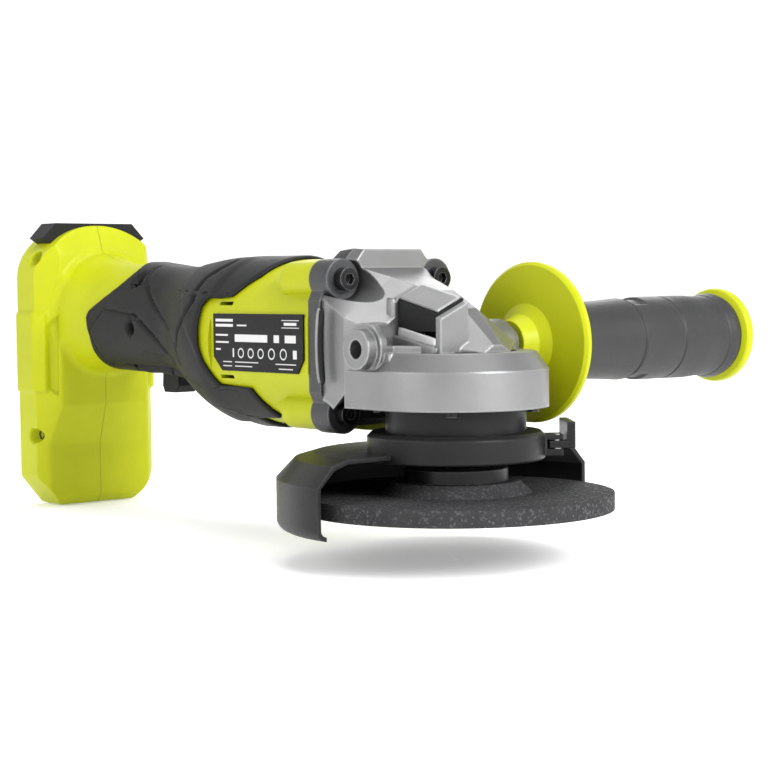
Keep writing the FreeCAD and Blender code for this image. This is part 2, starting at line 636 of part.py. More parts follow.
# ---------------------------------------------------------------- housing shells
def oval(station, width, low, top, squareness=2.0):
    """A superellipse across the motor axis, from its half width and its lowest and highest point.

    Its curve starts at the lowest point, on the plane between the two halves.
    """
    tall = (top - low) / 2
    middle = (top + low) / 2
    points = []
    for step in range(24):
        angle = 2 * math.pi * step / 24 - math.pi / 2
        across = math.copysign(abs(math.cos(angle)) ** (2 / squareness), math.cos(angle))
        along = math.copysign(abs(math.sin(angle)) ** (2 / squareness), math.sin(angle))
        points.append(V(station, width * across, middle + tall * along))
    curve = Part.BSplineCurve()
    curve.interpolate(Points=points, PeriodicFlag=True)
    return Part.Wire([curve.toShape()])


GRIP_STATIONS = [  # X, half width, lowest, highest, squareness of the section
    (-246.0, 25.0, 42.0, 97.0, 2.0), (-238.0, 24.0, 43.0, 95.5, 2.1), (-226.0, 21.8, 45.0, 93.0, 2.4),
    (-200.0, 21.3, 45.0, 92.0, 2.5), (-165.0, 21.3, 45.0, 88.9, 2.5), (-148.0, 25.0, 40.0, 89.4, 2.3),
    (-134.0, 31.0, 31.0, 91.0, 2.05), (-124.0, 32.9, 26.6, 91.6, 2.0)]


def grip_solid(inset):
    """The grip, lofted through ovals; inset shrinks it evenly for the shell under the soft skin."""
    rings = []
    for station, width, low, top, squareness in GRIP_STATIONS:
        rings.append(oval(station, width - inset, low + inset, top - inset, squareness))
    return Part.makeLoft(rings, True, False)


def foot_outline(inset=0.0):
    """The foot seen from the front, as (Y, Z) corners, shrunk by inset; its top is a soft arch."""
    width = D.foot_width - inset
    low = D.foot_low + inset
    right = [(20 - inset * 0.4, low), (width, -5.5 + inset * 0.4), (width, 86)]
    for step in range(1, 7):
        angle = math.pi / 2 * step / 7
        right.append((width * math.cos(angle), 86 + (24.0 - inset) * math.sin(angle)))
    left = [(-y, z) for y, z in reversed(right)]
    return right + [(0, D.foot_top - inset)] + left


def housing_outer():
    """Foot, grip core and motor barrel, before they are hollowed and split."""
    width = D.foot_width
    side_view = side_plate([
        (D.foot_rear, D.foot_low + 2), (D.foot_rear + 3, D.foot_low), (D.foot_lower_front - 3, D.foot_low),
        (D.foot_lower_front, D.foot_low + 4), (D.foot_lower_front, 9.5), (D.foot_front, 28.0),
        (D.foot_front, 97.0), (D.foot_front - 5, D.foot_top), (D.foot_rear, D.foot_top)],
        width + D.panel_rise, "foot_side")
    front_view = plate(foot_outline(), 60, (D.foot_rear - 10, 0, 0), "X", "foot_front_view")
    top_view = plate([
        (D.foot_rear, -width + 1), (D.foot_front - 10, -width), (D.foot_front, -23), (D.foot_front, 23),
        (D.foot_front - 10, width), (D.foot_rear, width - 1)], 160, (0, 0, -30), "Z", "foot_top_view")
    foot = common([side_view, front_view, top_view], "foot_block")
    raised = width + D.panel_rise
    panels = block((D.foot_rear + 2, -raised, 33.5), (-246, raised, 71.0), "panels")
    core = free_shape(grip_solid(float(D.overmould)), "grip_core")
    tube = cylinder(D.barrel_radius, D.barrel_front + 124, (-124, 0, D.motor_axis), "X", "barrel")
    corners = []
    for side in (-1, 1):
        for rise in (-1, 1):
            corners.append(cylinder(6.8, 19, (D.barrel_front - 19, D.case_screw_y * side,
                                              D.motor_axis + D.case_screw_rise * rise), "X", "screw_boss"))
            corners.append(cone(2.0, 6.8, 12, (D.barrel_front - 31, D.case_screw_y * side * 0.94,
                                               D.motor_axis + D.case_screw_rise * rise * 0.94), "X"))
    return fuse([foot, panels, core, tube] + corners, "housing_outer")


PADDLE_ROOM = [(-196.5, 20), (-196.5, 58.8), (-150, 54.8), (-131, 45.2), (-119, 38.6), (-108.6, 38.6),
               (-108.6, 20)]


def housing_rooms():
    """Everything that is taken out of the closed housing."""
    room = free_shape(Part.makeLoft([
        oval(-222.0, 17.5, 50.0, 88.0), oval(-165.0, 17.3, 49.0, 85.0), oval(-142.0, 20.0, 47.0, 86.0)],
        True, False), "grip_room")
    grip_room = common([room, block((-230, -30, 61), (-134, 30, 100))], "grip_room_upper")
    screw_holes = []
    for side in (-1, 1):
        for rise in (-1, 1):
            screw_holes.append(cylinder(2.6, 13, (D.barrel_front - 13, D.case_screw_y * side,
                                                  D.motor_axis + D.case_screw_rise * rise), "X"))
    vents = []
    for front, low in ((-98.0, 74.2), (-96.0, 45.4)):
        vents.append(block((front - 9, -40, low), (front, 40, low + 1.4), "vent"))
    joint_holes = []
    for x, head_y, z in SCREW_SPOTS:
        joint_holes.append(cylinder(3.4, head_y + 40, (x, -40, z), "Y", "head_recess"))
        joint_holes.append(cylinder(1.75, 24, (x, head_y - 1, z), "Y", "screw_hole"))
    return [
        cylinder(29.4, 62, (-108.4, 0, D.motor_axis), "X", "motor_room"),
        cylinder(18.3, 13, (-120.6, 0, D.motor_axis), "X", "brush_room"),
        cylinder(D.motor_bearing_radius, 12, (shaft_rear, 0, D.motor_axis), "X", "bearing_pocket"),
        grip_room,
        block((D.foot_rear - 2, -D.socket_width, D.socket_low), (D.socket_end, D.socket_width, D.socket_top)),
        block((-229, -12, 62), (-220, 12, 80), "wire_way"),
        plate(foot_outline(3.4), D.seat_depth + 1, (D.foot_rear - 1, 0, 0), "X", "battery_seat"),
        side_plate(PADDLE_ROOM, D.slot_width, "paddle_room"),
        cylinder(4.5, 20, (-165, 0, 52), "Z", "plunger_way"),
        cylinder(D.paddle_pin, 46, (D.paddle_pivot_x, -23, D.paddle_pivot_z), "Y", "pin_hole"),
        block((-110, -40, D.motor_axis - 11), (-46, -D.barrel_flat, D.motor_axis + 12), "plate_flat"),
    ] + screw_holes + joint_holes + vents


SCREW_SPOTS = [(-255.5, -18.0, 95.0), (-255.5, -24.0, 14.0), (-184.0, -11.5, 84.0), (-184.0, -15.0, 64.0)]


def half_space(side):
    low = -60.0 if side < 0 else 0.0
    return block((-300, low, -60), (0, low + 60.0, 160), "half_space")


outer = housing_outer()
hollow = cut(outer, housing_rooms(), "housing_hollow")
foot_split = D.foot_front + 0.4
for ending, low, high in (("right", -60.0, 0.0), ("left", 0.0, 60.0)):
    foot_zone = block((-300, low, -60), (foot_split, high, 160), "foot_zone")
    body_zone = block((foot_split, low, -60), (0, high, 160), "body_zone")
    node(f"foot_{ending}", common([hollow, foot_zone], f"foot_{ending}"))
    node(f"housing_{ending}", common([hollow, body_zone], f"housing_{ending}"))

# soft skin over the grip and the neck of the barrel
skin_shape = grip_solid(0.0).cut(grip_solid(float(D.overmould)))
skin = free_shape(skin_shape, "skin_shape")
skin_zone = block((-232, -60, 20), (-126, 60, 120), "skin_zone")
skin_cuts = [side_plate(PADDLE_ROOM, D.slot_width, "skin_slot")]
for x, head_y, z in SCREW_SPOTS[2:]:
    skin_cuts.append(cylinder(3.5, head_y + 50, (x, -50, z), "Y"))
skin_whole = cut(common([skin, skin_zone]), skin_cuts, "skin_whole")
node("grip_overmould_right", common([skin_whole, half_space(-1)], "grip_overmould_right"))
node("grip_overmould_left", common([skin_whole, half_space(1)], "grip_overmould_left"))

screws = []
for x, head_y, z in SCREW_SPOTS:
    head = cylinder(3.2, 2.4, (x, head_y - 2.4, z), "Y")
    shank = cylinder(1.7, 21, (x, head_y, z), "Y")
    screws.append(cut(fuse([head, shank]), [hex_hole(1.5, 1.4, (x, head_y - 2.4, z), "Y")]))
node("housing_screws", group(screws, "housing_screws"))

bumper_section = [(-27, 104.5), (-20.5, 111.3), (20.5, 111.3), (27, 104.5), (20, 100), (-20, 100)]
bumper = section_loft([(-262.0, bumper_section), (-249.5, bumper_section)])
node("foot_bumper", cut(free_shape(bumper, "bumper_shape"), [outer], "foot_bumper"))
plate_outline = [(-107.2, 71.0), (-107.2, 54.0), (-101.5, 48.6), (-52.5, 48.6), (-48.8, 54.0), (-48.8, 71.0)]
node("rating_plate", plate([(x, z) for x, z in plate_outline], 0.8, (0, -D.barrel_flat, 0), "side",
                           "rating_plate"))

# ---------------------------------------------------------------- battery contacts and controls
node("terminal_block", block((D.socket_end - 0.1 - 3, -12, 56), (D.socket_end, 12, 80), "terminal_block"))
blades = []
for y in (-8, 0, 8):
    blades.append(block((-240, y - 0.4, 64), (-231.1, y + 0.4, 72), "blade"))
node("battery_terminals", group(blades, "battery_terminals"))
node("control_board", block((-219, -10, 63), (-195, 10, 64.6), "control_board"))
node("switch_module", cut(block((-178, -8, 62), (-152, 8, 80)),
                          [cylinder(2.6, 12, (-165, 0, 61), "Z")], "switch_module"))
plunger_rod = cylinder(2.5, 15.5, (-165, 0, 50.6), "Z")
plunger_head = cylinder(4.0, 2.5, (-165, 0, 50.6), "Z")
node("switch_plunger", fuse([plunger_rod, plunger_head], "switch_plunger"))

# ---------------------------------------------------------------- paddle switch
PADDLE_SIDE = [(-195, 43.5), (-191, 41.8), (-172, 40.6), (-160, 37.2), (-150, 32.6), (-141, 27.2),
               (-133, 24.6), (-125, 23.6), (-117, 24.2), (-112, 27.6), (-111, 32.0), (-113, 36.2),
               (-120, 36.6), (-132, 41.5), (-142, 47.0), (-151, 50.0), (-193, 50.0), (-195, 48.0)]
paddle_blank = side_plate(PADDLE_SIDE, D.paddle_width, "paddle_blank")
lever_slot = block((-190.5, -D.lock_lever_width - D.play, 30), (-168, D.lock_lever_width + D.play, 60))
pivot_hole = cylinder(D.paddle_pin + D.running, 40, (D.paddle_pivot_x, -20, D.paddle_pivot_z), "Y")
lever_pin_hole = cylinder(1.25, 20, (D.lock_lever_x, -10, D.lock_lever_z), "Y")
node("paddle_lever", cut(paddle_blank, [lever_slot, pivot_hole, lever_pin_hole], "paddle_lever"))
pin_start = (D.paddle_pivot_x, -16.8, D.paddle_pivot_z)
node("paddle_pin", cylinder(D.paddle_pin, 33.6, pin_start, "Y", "paddle_pin"))
LOCK_LEVER_SIDE = [(-184.5, 35.6), (-176.0, 35.6), (-173.6, 38.5), (-174.0, 46.0), (-176.0, 49.0),
                   (-183.0, 49.0), (-185.4, 46.0), (-186.0, 38.5)]
lock_lever_blank = side_plate(LOCK_LEVER_SIDE, D.lock_lever_width, "lock_lever_blank")
lock_lever_hole = cylinder(1.2 + D.running, 20, (D.lock_lever_x, -10, D.lock_lever_z), "Y")
node("lock_off_lever", cut(lock_lever_blank, [lock_lever_hole], "lock_off_lever"))
node("lock_off_pin", cylinder(1.2, 19.8, (D.lock_lever_x, -9.9, D.lock_lever_z), "Y", "lock_off_pin"))

# ---------------------------------------------------------------- guard
wall = D.guard_wall
curl_steps = [math.pi / 2 * step / 5 for step in range(1, 6)]
outer_line = [(D.collar_radius, D.guard_plate), (D.guard_plate_flat, D.guard_plate),
              (D.guard_plate_edge, D.guard_edge_height), (D.guard_radius, D.guard_step),
              (D.guard_radius, D.guard_bottom)]
inner_line = [(D.guard_radius - wall, D.guard_bottom), (D.guard_radius - wall, D.guard_step - 0.4),
              (D.guard_plate_edge - wall * 0.6, D.guard_edge_height - wall),
              (D.guard_plate_flat, D.guard_plate - wall), (D.collar_radius, D.guard_plate - wall)]
for step in curl_steps:
    outer_line.append((D.guard_radius - D.guard_curl * (1 - math.cos(step)),
                       D.guard_bottom - D.guard_curl * math.sin(step)))
for step in curl_steps:
    inner_line.insert(0, (D.guard_radius - D.guard_curl + (D.guard_curl - wall) * math.cos(step),
                          D.guard_bottom - (D.guard_curl - wall) * math.sin(step)))
guard_ring = turned(outer_line + inner_line, name="guard_ring")
guard_half = block((-90, -90, -20), (D.guard_front, 90, 60), "guard_half")
node("guard_shell", common([guard_ring, guard_half], "guard_shell"))
collar_side = D.collar_radius - 0.02
collar_blank = turned([
    (D.collar_bore, D.collar_low), (D.collar_radius - 0.6, D.collar_low), (collar_side, D.collar_low + 0.6),
    (collar_side, D.collar_top - 1.5), (D.collar_radius - 1.5, D.collar_top),
    (D.collar_bore, D.collar_top)], name="collar_blank")


def at_clamp(item, turn=0.0):
    """Carries a piece drawn beside the X axis round to the clamp's place on the collar."""
    swing = FreeCAD.Rotation(V(0, 0, 1), float(D.clamp_angle) + turn)
    item.Placement = FreeCAD.Placement(V(0, 0, 0), swing).multiply(item.Placement)
    return item


split_gap = at_clamp(block((24, -0.8, 10), (36, 0.8, 40), "split_gap"))
lugs = []
for low, high in ((-6.0, -0.8), (0.8, 5.0)):
    lugs.append(at_clamp(block((29, low, D.collar_low + 1), (38.6, high, D.collar_top - 1.6), "clamp_lug")))
pin_way = at_clamp(cylinder(D.clamp_pin + D.running, 20, (36.4, -3.6, D.collar_low - 2), "Z"))
heel_room = at_clamp(cylinder(4.4, D.collar_top - D.collar_low - 6.8, (36.4, -3.6, D.collar_low + 3.4), "Z"))
lever_room = at_clamp(block((33.2, -6.5, D.collar_low + 3.4), (42, -0.9, D.collar_top - 3.4), "lever_room"))
node("guard_collar", cut(fuse([collar_blank] + lugs), [split_gap, pin_way, heel_room, lever_room],
                         "guard_collar"))
lever_arm = at_clamp(block((33.6, -6.2, D.collar_low + 3.8), (41.6, -1.2, D.collar_top - 3.8), "lever_arm"))
lever_tab = at_clamp(block((40.0, -6.2, D.collar_low + 3.8), (43.0, 17.0, D.collar_top + 3.0), "lever_tab"))
lever_hole = at_clamp(cylinder(D.clamp_pin + D.running, 20, (36.4, -3.6, D.collar_low), "Z"))
node("guard_clamp_lever", cut(fuse([lever_arm, lever_tab]), [lever_hole], "guard_clamp_lever"))
node("guard_clamp_pin", at_clamp(cylinder(D.clamp_pin, D.collar_top - D.collar_low - 2.4,
                                          (36.4, -3.6, D.collar_low + 1.0), "Z", "guard_clamp_pin")))

# ---------------------------------------------------------------- side handle
handle_at = (D.handle_x, 0, D.handle_z)
node("side_handle_stud", turned([
    (0, D.boss_face - 12.5), (D.stud_radius, D.boss_face - 12.5), (D.stud_radius, D.handle_start + 0.2),
    (6.2, D.handle_start + 0.2), (6.2, D.handle_start + 7), (4.0, D.handle_start + 7),
    (4.0, D.handle_start + 45), (0, D.handle_start + 45)], handle_at, "Y", "side_handle_stud"))
node("side_handle_core", turned([
    (D.stud_radius + 0.3, D.handle_start), (8.6, D.handle_start), (11.0, D.handle_start + 6),
    (15.0, D.handle_start + 9), (D.handle_flange - 1.2, D.handle_flange_y - 1.2),
    (D.handle_flange, D.handle_flange_y), (D.handle_flange, D.handle_flange_y + 1.6),
    (16.0, D.handle_flange_y + 2.6), (13.0, D.handle_flange_y + 4), (13.0, D.handle_end - 2),
    (0, D.handle_end - 2), (0, D.handle_start + 45.05), (4.05, D.handle_start + 45.05),
    (4.05, D.handle_start + 7.05), (6.25, D.handle_start + 7.05), (6.25, D.handle_start + 0.15),
    (D.stud_radius + 0.3, D.handle_start + 0.15)], handle_at, "Y", "side_handle_core"))
grip_line = [(13.05, D.handle_flange_y + 4.2), (15.2, D.handle_flange_y + 4.2), (15.2, 80), (16.2, 97),
             (15.8, 99), (16.6, 101), (D.handle_grip, 112), (D.handle_grip - 0.5, 121),
             (D.handle_grip, 123), (D.handle_grip, D.handle_end - 6), (D.handle_grip + 0.8, D.handle_end - 3),
             (D.handle_grip, D.handle_end - 0.1), (13.05, D.handle_end - 0.1)]
node("side_handle_grip", turned(grip_line, handle_at, "Y", "side_handle_grip"))
node("side_handle_end_cap", turned([
    (0, D.handle_end), (16.4, D.handle_end), (D.handle_cap - 0.6, D.handle_end + 1),
    (D.handle_cap, D.handle_end + 2), (D.handle_cap, D.handle_cap_end - 1.4),
    (D.handle_cap - 1.4, D.handle_cap_end), (D.handle_cap - 4, D.handle_cap_end),
    (D.handle_cap - 6, D.handle_cap_end - 1.6), (0, D.handle_cap_end - 1.6)], handle_at, "Y",
    "side_handle_end_cap"))

# ---------------------------------------------------------------- check and export
doc.recompute()
faults = []
for item in doc.Objects:
    if "Invalid" in item.State or "Error" in item.State:
        faults.append(f"{item.Name} ({item.Label}): {item.State}")
for name, item in nodes.items():
    shape = item.Shape
    if shape.isNull() or not shape.isValid() or not shape.Solids:
        faults.append(f"{name}: shape is null, invalid or holds no solid")
if faults:
    raise SystemExit("failed objects:\n" + "\n".join(faults))
os.makedirs("parts", exist_ok=True)
for name, item in nodes.items():
    item.Shape.exportStep(f"parts/{name}.step")
    print(f"{name:24s} {len(item.Shape.Solids):3d} solids  {item.Shape.Volume / 1000:8.2f} cm3")
print(len(nodes), "nodes")
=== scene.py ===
"""Looks of a cordless angle grinder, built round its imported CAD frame.

Lengths are metres. X runs forward along the motor, Y to the side handle, Z up the spindle.
"""

from __future__ import annotations

import logging
import math
from dataclasses import dataclass, field
from enum import Enum
from typing import Any, Sequence

import bpy
import numpy as np
from mathutils import Matrix, Vector

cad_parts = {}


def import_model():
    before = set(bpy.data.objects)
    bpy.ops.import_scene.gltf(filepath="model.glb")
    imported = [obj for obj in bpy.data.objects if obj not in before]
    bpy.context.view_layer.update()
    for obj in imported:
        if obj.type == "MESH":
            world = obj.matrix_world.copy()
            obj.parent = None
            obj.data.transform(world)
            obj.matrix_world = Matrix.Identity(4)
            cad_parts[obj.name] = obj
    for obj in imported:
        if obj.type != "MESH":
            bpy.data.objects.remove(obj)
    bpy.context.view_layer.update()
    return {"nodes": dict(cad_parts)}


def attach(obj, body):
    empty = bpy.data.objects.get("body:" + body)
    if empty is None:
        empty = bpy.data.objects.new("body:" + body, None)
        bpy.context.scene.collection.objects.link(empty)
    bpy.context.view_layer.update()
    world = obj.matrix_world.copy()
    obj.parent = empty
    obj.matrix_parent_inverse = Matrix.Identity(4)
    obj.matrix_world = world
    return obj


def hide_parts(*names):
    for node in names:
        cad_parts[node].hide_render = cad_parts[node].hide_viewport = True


LOG = logging.getLogger("grinder")
MM = 0.001
Colour = tuple[float, float, float]


# ------------------------------------------------------------------ shader maths
class Wire:
    """One value socket of a shader graph; arithmetic on it adds Math nodes."""

    def __init__(self, graph: "Graph", socket: Any) -> None:
        """Keeps the graph and the socket.

        Args:
            graph: the graph that new nodes go to.
            socket: the output socket.
        """
        self.graph = graph
        self.socket = socket

    def math(self, operation: str, *others: Any) -> "Wire":
        """Adds one Math node fed by this socket and others.

        Args:
            operation: a Math node operation, such as "ADD".
            others: further sockets or numbers.

        Returns:
            The node's result.
        """
        values = dict(enumerate((self, *others)))
        return self.graph.node("ShaderNodeMath", {"operation": operation}, values)

    def flipped(self, operation: str, other: Any) -> "Wire":
        """The same as math, with the other value first."""
        return self.graph.node("ShaderNodeMath", {"operation": operation}, {0: other, 1: self})

    def __add__(self, other: Any) -> "Wire":
        """Sum."""
        return self.math("ADD", other)

    def __radd__(self, other: Any) -> "Wire":
        """Sum with the number first."""
        return self.flipped("ADD", other)

    def __sub__(self, other: Any) -> "Wire":
        """Difference."""
        return self.math("SUBTRACT", other)

    def __rsub__(self, other: Any) -> "Wire":
        """Difference with the number first."""
        return self.flipped("SUBTRACT", other)

    def __mul__(self, other: Any) -> "Wire":
        """Product."""
        return self.math("MULTIPLY", other)

    def __rmul__(self, other: Any) -> "Wire":
        """Product with the number first."""
        return self.flipped("MULTIPLY", other)

    def __truediv__(self, other: Any) -> "Wire":
        """Quotient."""
        return self.math("DIVIDE", other)

    def between(self, low: float, high: float) -> "Wire":
        """This value stretched so that low gives 0 and high gives 1, held to that range.

        Args:
            low: the value that gives 0.
            high: the value that gives 1.

        Returns:
            The stretched value.
        """
        inputs = {"Value": self, "From Min": low, "From Max": high}
        return self.graph.node("ShaderNodeMapRange", {"clamp": True}, inputs)


class Graph:
    """A material under construction."""

    def __init__(self, name: str) -> None:
        """Makes an empty material with a Principled shader.

        Args:
            name: the material's name.
        """
        self.material = bpy.data.materials.new(name)
        self.material.use_nodes = True
        self.tree = self.material.node_tree
        self.tree.nodes.clear()
        self.surface = self.tree.nodes.new("ShaderNodeBsdfPrincipled")
        output = self.tree.nodes.new("ShaderNodeOutputMaterial")
        self.tree.links.new(self.surface.outputs[0], output.inputs[0])

    def node(self, kind: str, settings: dict[str, Any] | None = None,
             inputs: dict[Any, Any] | None = None, output: str | int = 0) -> Wire:
        """Adds a node, sets its settings, then its inputs.

        Args:
            kind: the node's type name.
            settings: its own properties; "stops" holds a ramp's (place, colour) pairs.
            inputs: values or sockets by input name or number.
            output: the output to hand back.

        Returns:
            That output as a Wire.
        """
        made = self.tree.nodes.new(kind)
        for key, value in (settings or {}).items():
            if key == "stops":
                ramp = made.color_ramp.elements
                while len(ramp) < len(value):
                    ramp.new(0.5)
                for stop, (place, colour) in zip(ramp, value):
                    stop.position = place
                    stop.color = (*colour, 1.0)
            else:
                setattr(made, key, value)
        for key, value in (inputs or {}).items():
            self.feed(made.inputs[key], value)
        return Wire(self, made.outputs[output])

    def feed(self, socket: Any, value: Any) -> None:
        """Links a Wire to a socket, or sets the socket to a constant.

        Args:
            socket: the input socket.
            value: a Wire, a number, or three numbers for a colour.
        """
        if isinstance(value, Wire):
            self.tree.links.new(value.socket, socket)
        elif isinstance(value, (tuple, list)) and socket.type == "RGBA":
            socket.default_value = (*value, 1.0)
        else:
            socket.default_value = value

    def place(self) -> Wire:
        """The point on the piece, in metres."""
        return self.node("ShaderNodeTexCoord", output="Object")

    def axes(self) -> tuple[Wire, Wire, Wire]:
        """The three coordinates of the point on the piece."""
        split = self.node("ShaderNodeSeparateXYZ", inputs={0: self.place()})
        outputs = split.socket.node.outputs
        return Wire(self, outputs[0]), Wire(self, outputs[1]), Wire(self, outputs[2])

    def noise(self, scale: float, detail: float = 3.0, at: Wire | None = None,
              rough: float = 0.55) -> Wire:
        """Fractal noise, about 0 to 1.

        Args:
            scale: waves per metre.
            detail: octaves.
            at: the point to read, or the piece's own.
            rough: how strong the finer octaves are.

        Returns:
            The noise value.
        """
        inputs = {"Vector": at or self.place(), "Scale": scale, "Detail": detail,
                  "Roughness": rough}
        return self.node("ShaderNodeTexNoise", inputs=inputs)

    def cells(self, scale: float, at: Wire | None = None, feature: str = "F1") -> Wire:
        """Distance to the nearest of scattered points.

        Args:
            scale: points per metre.
            at: the point to read, or the piece's own.
            feature: the Voronoi feature.

        Returns:
            The distance, in cells.
        """
        return self.node("ShaderNodeTexVoronoi", {"feature": feature},
                         {"Vector": at or self.place(), "Scale": scale})

    def stretched(self, x: float, y: float, z: float) -> Wire:
        """The point on the piece with each axis scaled."""
        return self.node("ShaderNodeMapping", inputs={"Vector": self.place(), "Scale": (x, y, z)})

    def mixed(self, share: Any, first: Any, second: Any, blend: str = "MIX") -> Wire:
        """A colour between two colours.

        Args:
            share: how much of the second, 0 to 1.
            first: the colour at 0.
            second: the colour at 1.
            blend: the way they mix.

        Returns:
            The mixed colour.
        """
        made = self.tree.nodes.new("ShaderNodeMix")
        made.data_type = "RGBA"
        made.blend_type = blend
        self.feed(made.inputs[0], share)
        self.feed(made.inputs[6], first)
        self.feed(made.inputs[7], second)
        return Wire(self, made.outputs[2])

    def edges(self, radius: float) -> Wire:
        """A mask that is 1 on sharp edges and 0 on flat faces.

        Args:
            radius: how far the mask reaches from an edge.

        Returns:
            The mask.
        """
        soft = self.node("ShaderNodeBevel", {"samples": 4}, {"Radius": radius})
        true = self.node("ShaderNodeNewGeometry", output="Normal")
        facing = self.node("ShaderNodeVectorMath", {"operation": "DOT_PRODUCT"},
                           {0: soft, 1: true}, output="Value")
        return (1 - facing).between(0.01, 0.16)

    def relief(self, height: Wire, depth: float, rounding: float = 0.0,
               strength: float = 1.0) -> None:
        """Feeds the surface normal from a height and from rounded edges.

        Args:
            height: the height, 0 to 1.
            depth: how far 1 stands above 0, in metres.
            rounding: the radius of the rounded edges, in metres.
            strength: how much of the relief to show.
        """
        inputs: dict[Any, Any] = {"Height": height, "Distance": depth, "Strength": strength}
        if rounding:
            inputs["Normal"] = self.node("ShaderNodeBevel", {"samples": 4}, {"Radius": rounding})
        self.set("Normal", self.node("ShaderNodeBump", inputs=inputs))

    def set(self, name: str, value: Any) -> None:
        """Feeds or sets one socket of the surface shader."""
        self.feed(self.surface.inputs[name], value)


# ------------------------------------------------------------------ finishes
@dataclass(frozen=True)
class Finish:
    """A named finish that makes its own material."""

    name: str

    def make(self) -> bpy.types.Material:
        """Builds the material."""
        raise NotImplementedError


@dataclass(frozen=True)
class Moulded(Finish):
    """Moulded plastic or soft overmould: fine grain, faint cloudiness, and edges painted paler as a
    highlight, broken up by scuff noise.
    """

    colour: Colour
    # the paler colour painted on the edges as a highlight
    edge_wear_and_highlight: Colour
    roughness: float = 0.42
    grain: float = 2600.0
    depth: float = 0.00004
    rounding: float = 0.0006
    coat: float = 0.0
    seam: float = 0.0
    specular: float = 0.45

    def make(self) -> bpy.types.Material:
        """Builds the material.

        Returns:
            The finished material.
        """
        g = Graph(self.name)
        cloud = g.noise(28, 4)
        fine = g.noise(self.grain, 2)
        scuff = g.noise(260, 5, g.stretched(1.0, 1.0, 2.2)).between(0.56, 0.74)
        shade = tuple(c * 0.86 for c in self.colour)
        base = g.mixed(cloud.between(0.3, 0.7), self.colour, shade)
        # Painted highlight: the edges are painted paler, broken up by the scuff noise.
        edge_highlight_mask = g.edges(self.rounding * 1.6) * (0.25 + scuff * 0.5)
        base = g.mixed(edge_highlight_mask, base, self.edge_wear_and_highlight)
        height = fine + scuff * 0.2
        if self.seam:
            _, y, _ = g.axes()
            line = 1 - y.math("ABSOLUTE").between(self.seam * 0.4, self.seam)
            base = g.mixed(line * 0.45, base, tuple(c * 0.3 for c in self.colour))
            height = height - line * 3.0
        g.set("Base Color", base)
        g.set("Roughness", self.roughness + (fine - 0.5) * 0.14 + scuff * 0.07 + (cloud - 0.5) * 0.08)
        g.set("Specular IOR Level", self.specular)
        g.set("Coat Weight", self.coat)
        g.relief(height, self.depth, self.rounding)
        return g.material


@dataclass(frozen=True)
class Cast(Finish):
    """Bead-blasted or painted casting: pebbled, with a painted highlight that lightens the edges."""

    colour: Colour
    # the paler colour painted on the edges as a highlight
    edge_highlight_colour: Colour
    roughness: float = 0.4
    metallic: float = 0.9
    pebble: float = 1500.0
    depth: float = 0.00006
    rounding: float = 0.0009
    specular: float = 0.5

    def make(self) -> bpy.types.Material:
        """Builds the material.

        Returns:
            The finished material.
        """
        g = Graph(self.name)
        cloud = g.noise(45, 5)
        pebbles = g.noise(self.pebble, 3, rough=0.65)
        # Painted highlight: the edges found by the bevel mask are painted towards the paler colour.
        edge_wear_and_highlight = g.edges(self.rounding * 1.5)
        tint = tuple(c * 0.88 for c in self.colour)
        base = g.mixed(cloud.between(0.35, 0.68), self.colour, tint)
        g.set("Base Color", g.mixed(edge_wear_and_highlight * 0.6, base, self.edge_highlight_colour))
        g.set("Metallic", self.metallic)
        g.set("Specular IOR Level", self.specular)
        g.set("Roughness", self.roughness + (pebbles - 0.5) * 0.18 + (cloud - 0.5) * 0.1 - edge_wear_and_highlight * 0.06)
        g.relief(pebbles, self.depth, self.rounding)
        return g.material


@dataclass(frozen=True)
class Steel(Finish):
    """Turned, ground or coated steel, with fine lines round the tool's upright axis."""

    colour: Colour
    roughness: float = 0.3
    metallic: float = 1.0
    lines: float = 900.0
    depth: float = 0.00001
    rounding: float = 0.0004
    edge_wear_and_highlight: Colour = (0.45, 0.45, 0.46)
    wear: float = 0.3

    def make(self) -> bpy.types.Material:
        """Builds the material.

        Returns:
            The finished material.
        """
        g = Graph(self.name)
        cloud = g.noise(60, 4)
        turned = g.noise(self.lines, 2, g.stretched(0.05, 0.05, 1.0))
        speck = g.noise(3200, 2)
        edge_wear_and_highlight = g.edges(self.rounding * 2.0) * self.wear
        base = g.mixed(cloud.between(0.3, 0.75), self.colour, tuple(c * 0.8 for c in self.colour))
        g.set("Base Color", g.mixed(edge_wear_and_highlight, base, self.edge_wear_and_highlight))
        g.set("Metallic", self.metallic)
        g.set("Roughness", self.roughness + (turned - 0.5) * 0.16 + (cloud - 0.5) * 0.12)
        g.relief(turned * 0.6 + speck * 0.4, self.depth, self.rounding)
        return g.material


@dataclass(frozen=True)
class Grit(Finish):
    """Resin-bonded abrasive: packed dark grains with sparse pale and shiny ones."""

    colour: Colour
    pale: Colour

    def make(self) -> bpy.types.Material:
        """Builds the material.

        Returns:
            The finished material.
        """
        g = Graph(self.name)
        grains = g.cells(1300)
        small = g.cells(2900)
        pick = g.node("ShaderNodeTexVoronoi", inputs={"Vector": g.place(), "Scale": 1300},
                      output="Color")
        lone = g.node("ShaderNodeSeparateColor", inputs={0: pick}).between(0.8, 0.92)
        cloud = g.noise(70, 4)
        base = g.mixed(cloud.between(0.3, 0.7), self.colour, tuple(c * 1.5 for c in self.colour))
        g.set("Base Color", g.mixed(lone * 0.45, base, self.pale))
        g.set("Roughness", 0.82 - lone * 0.3)
        g.set("Specular IOR Level", 0.2)
        g.relief(1 - (grains * 0.7 + small * 0.3), 0.00028)
        return g.material


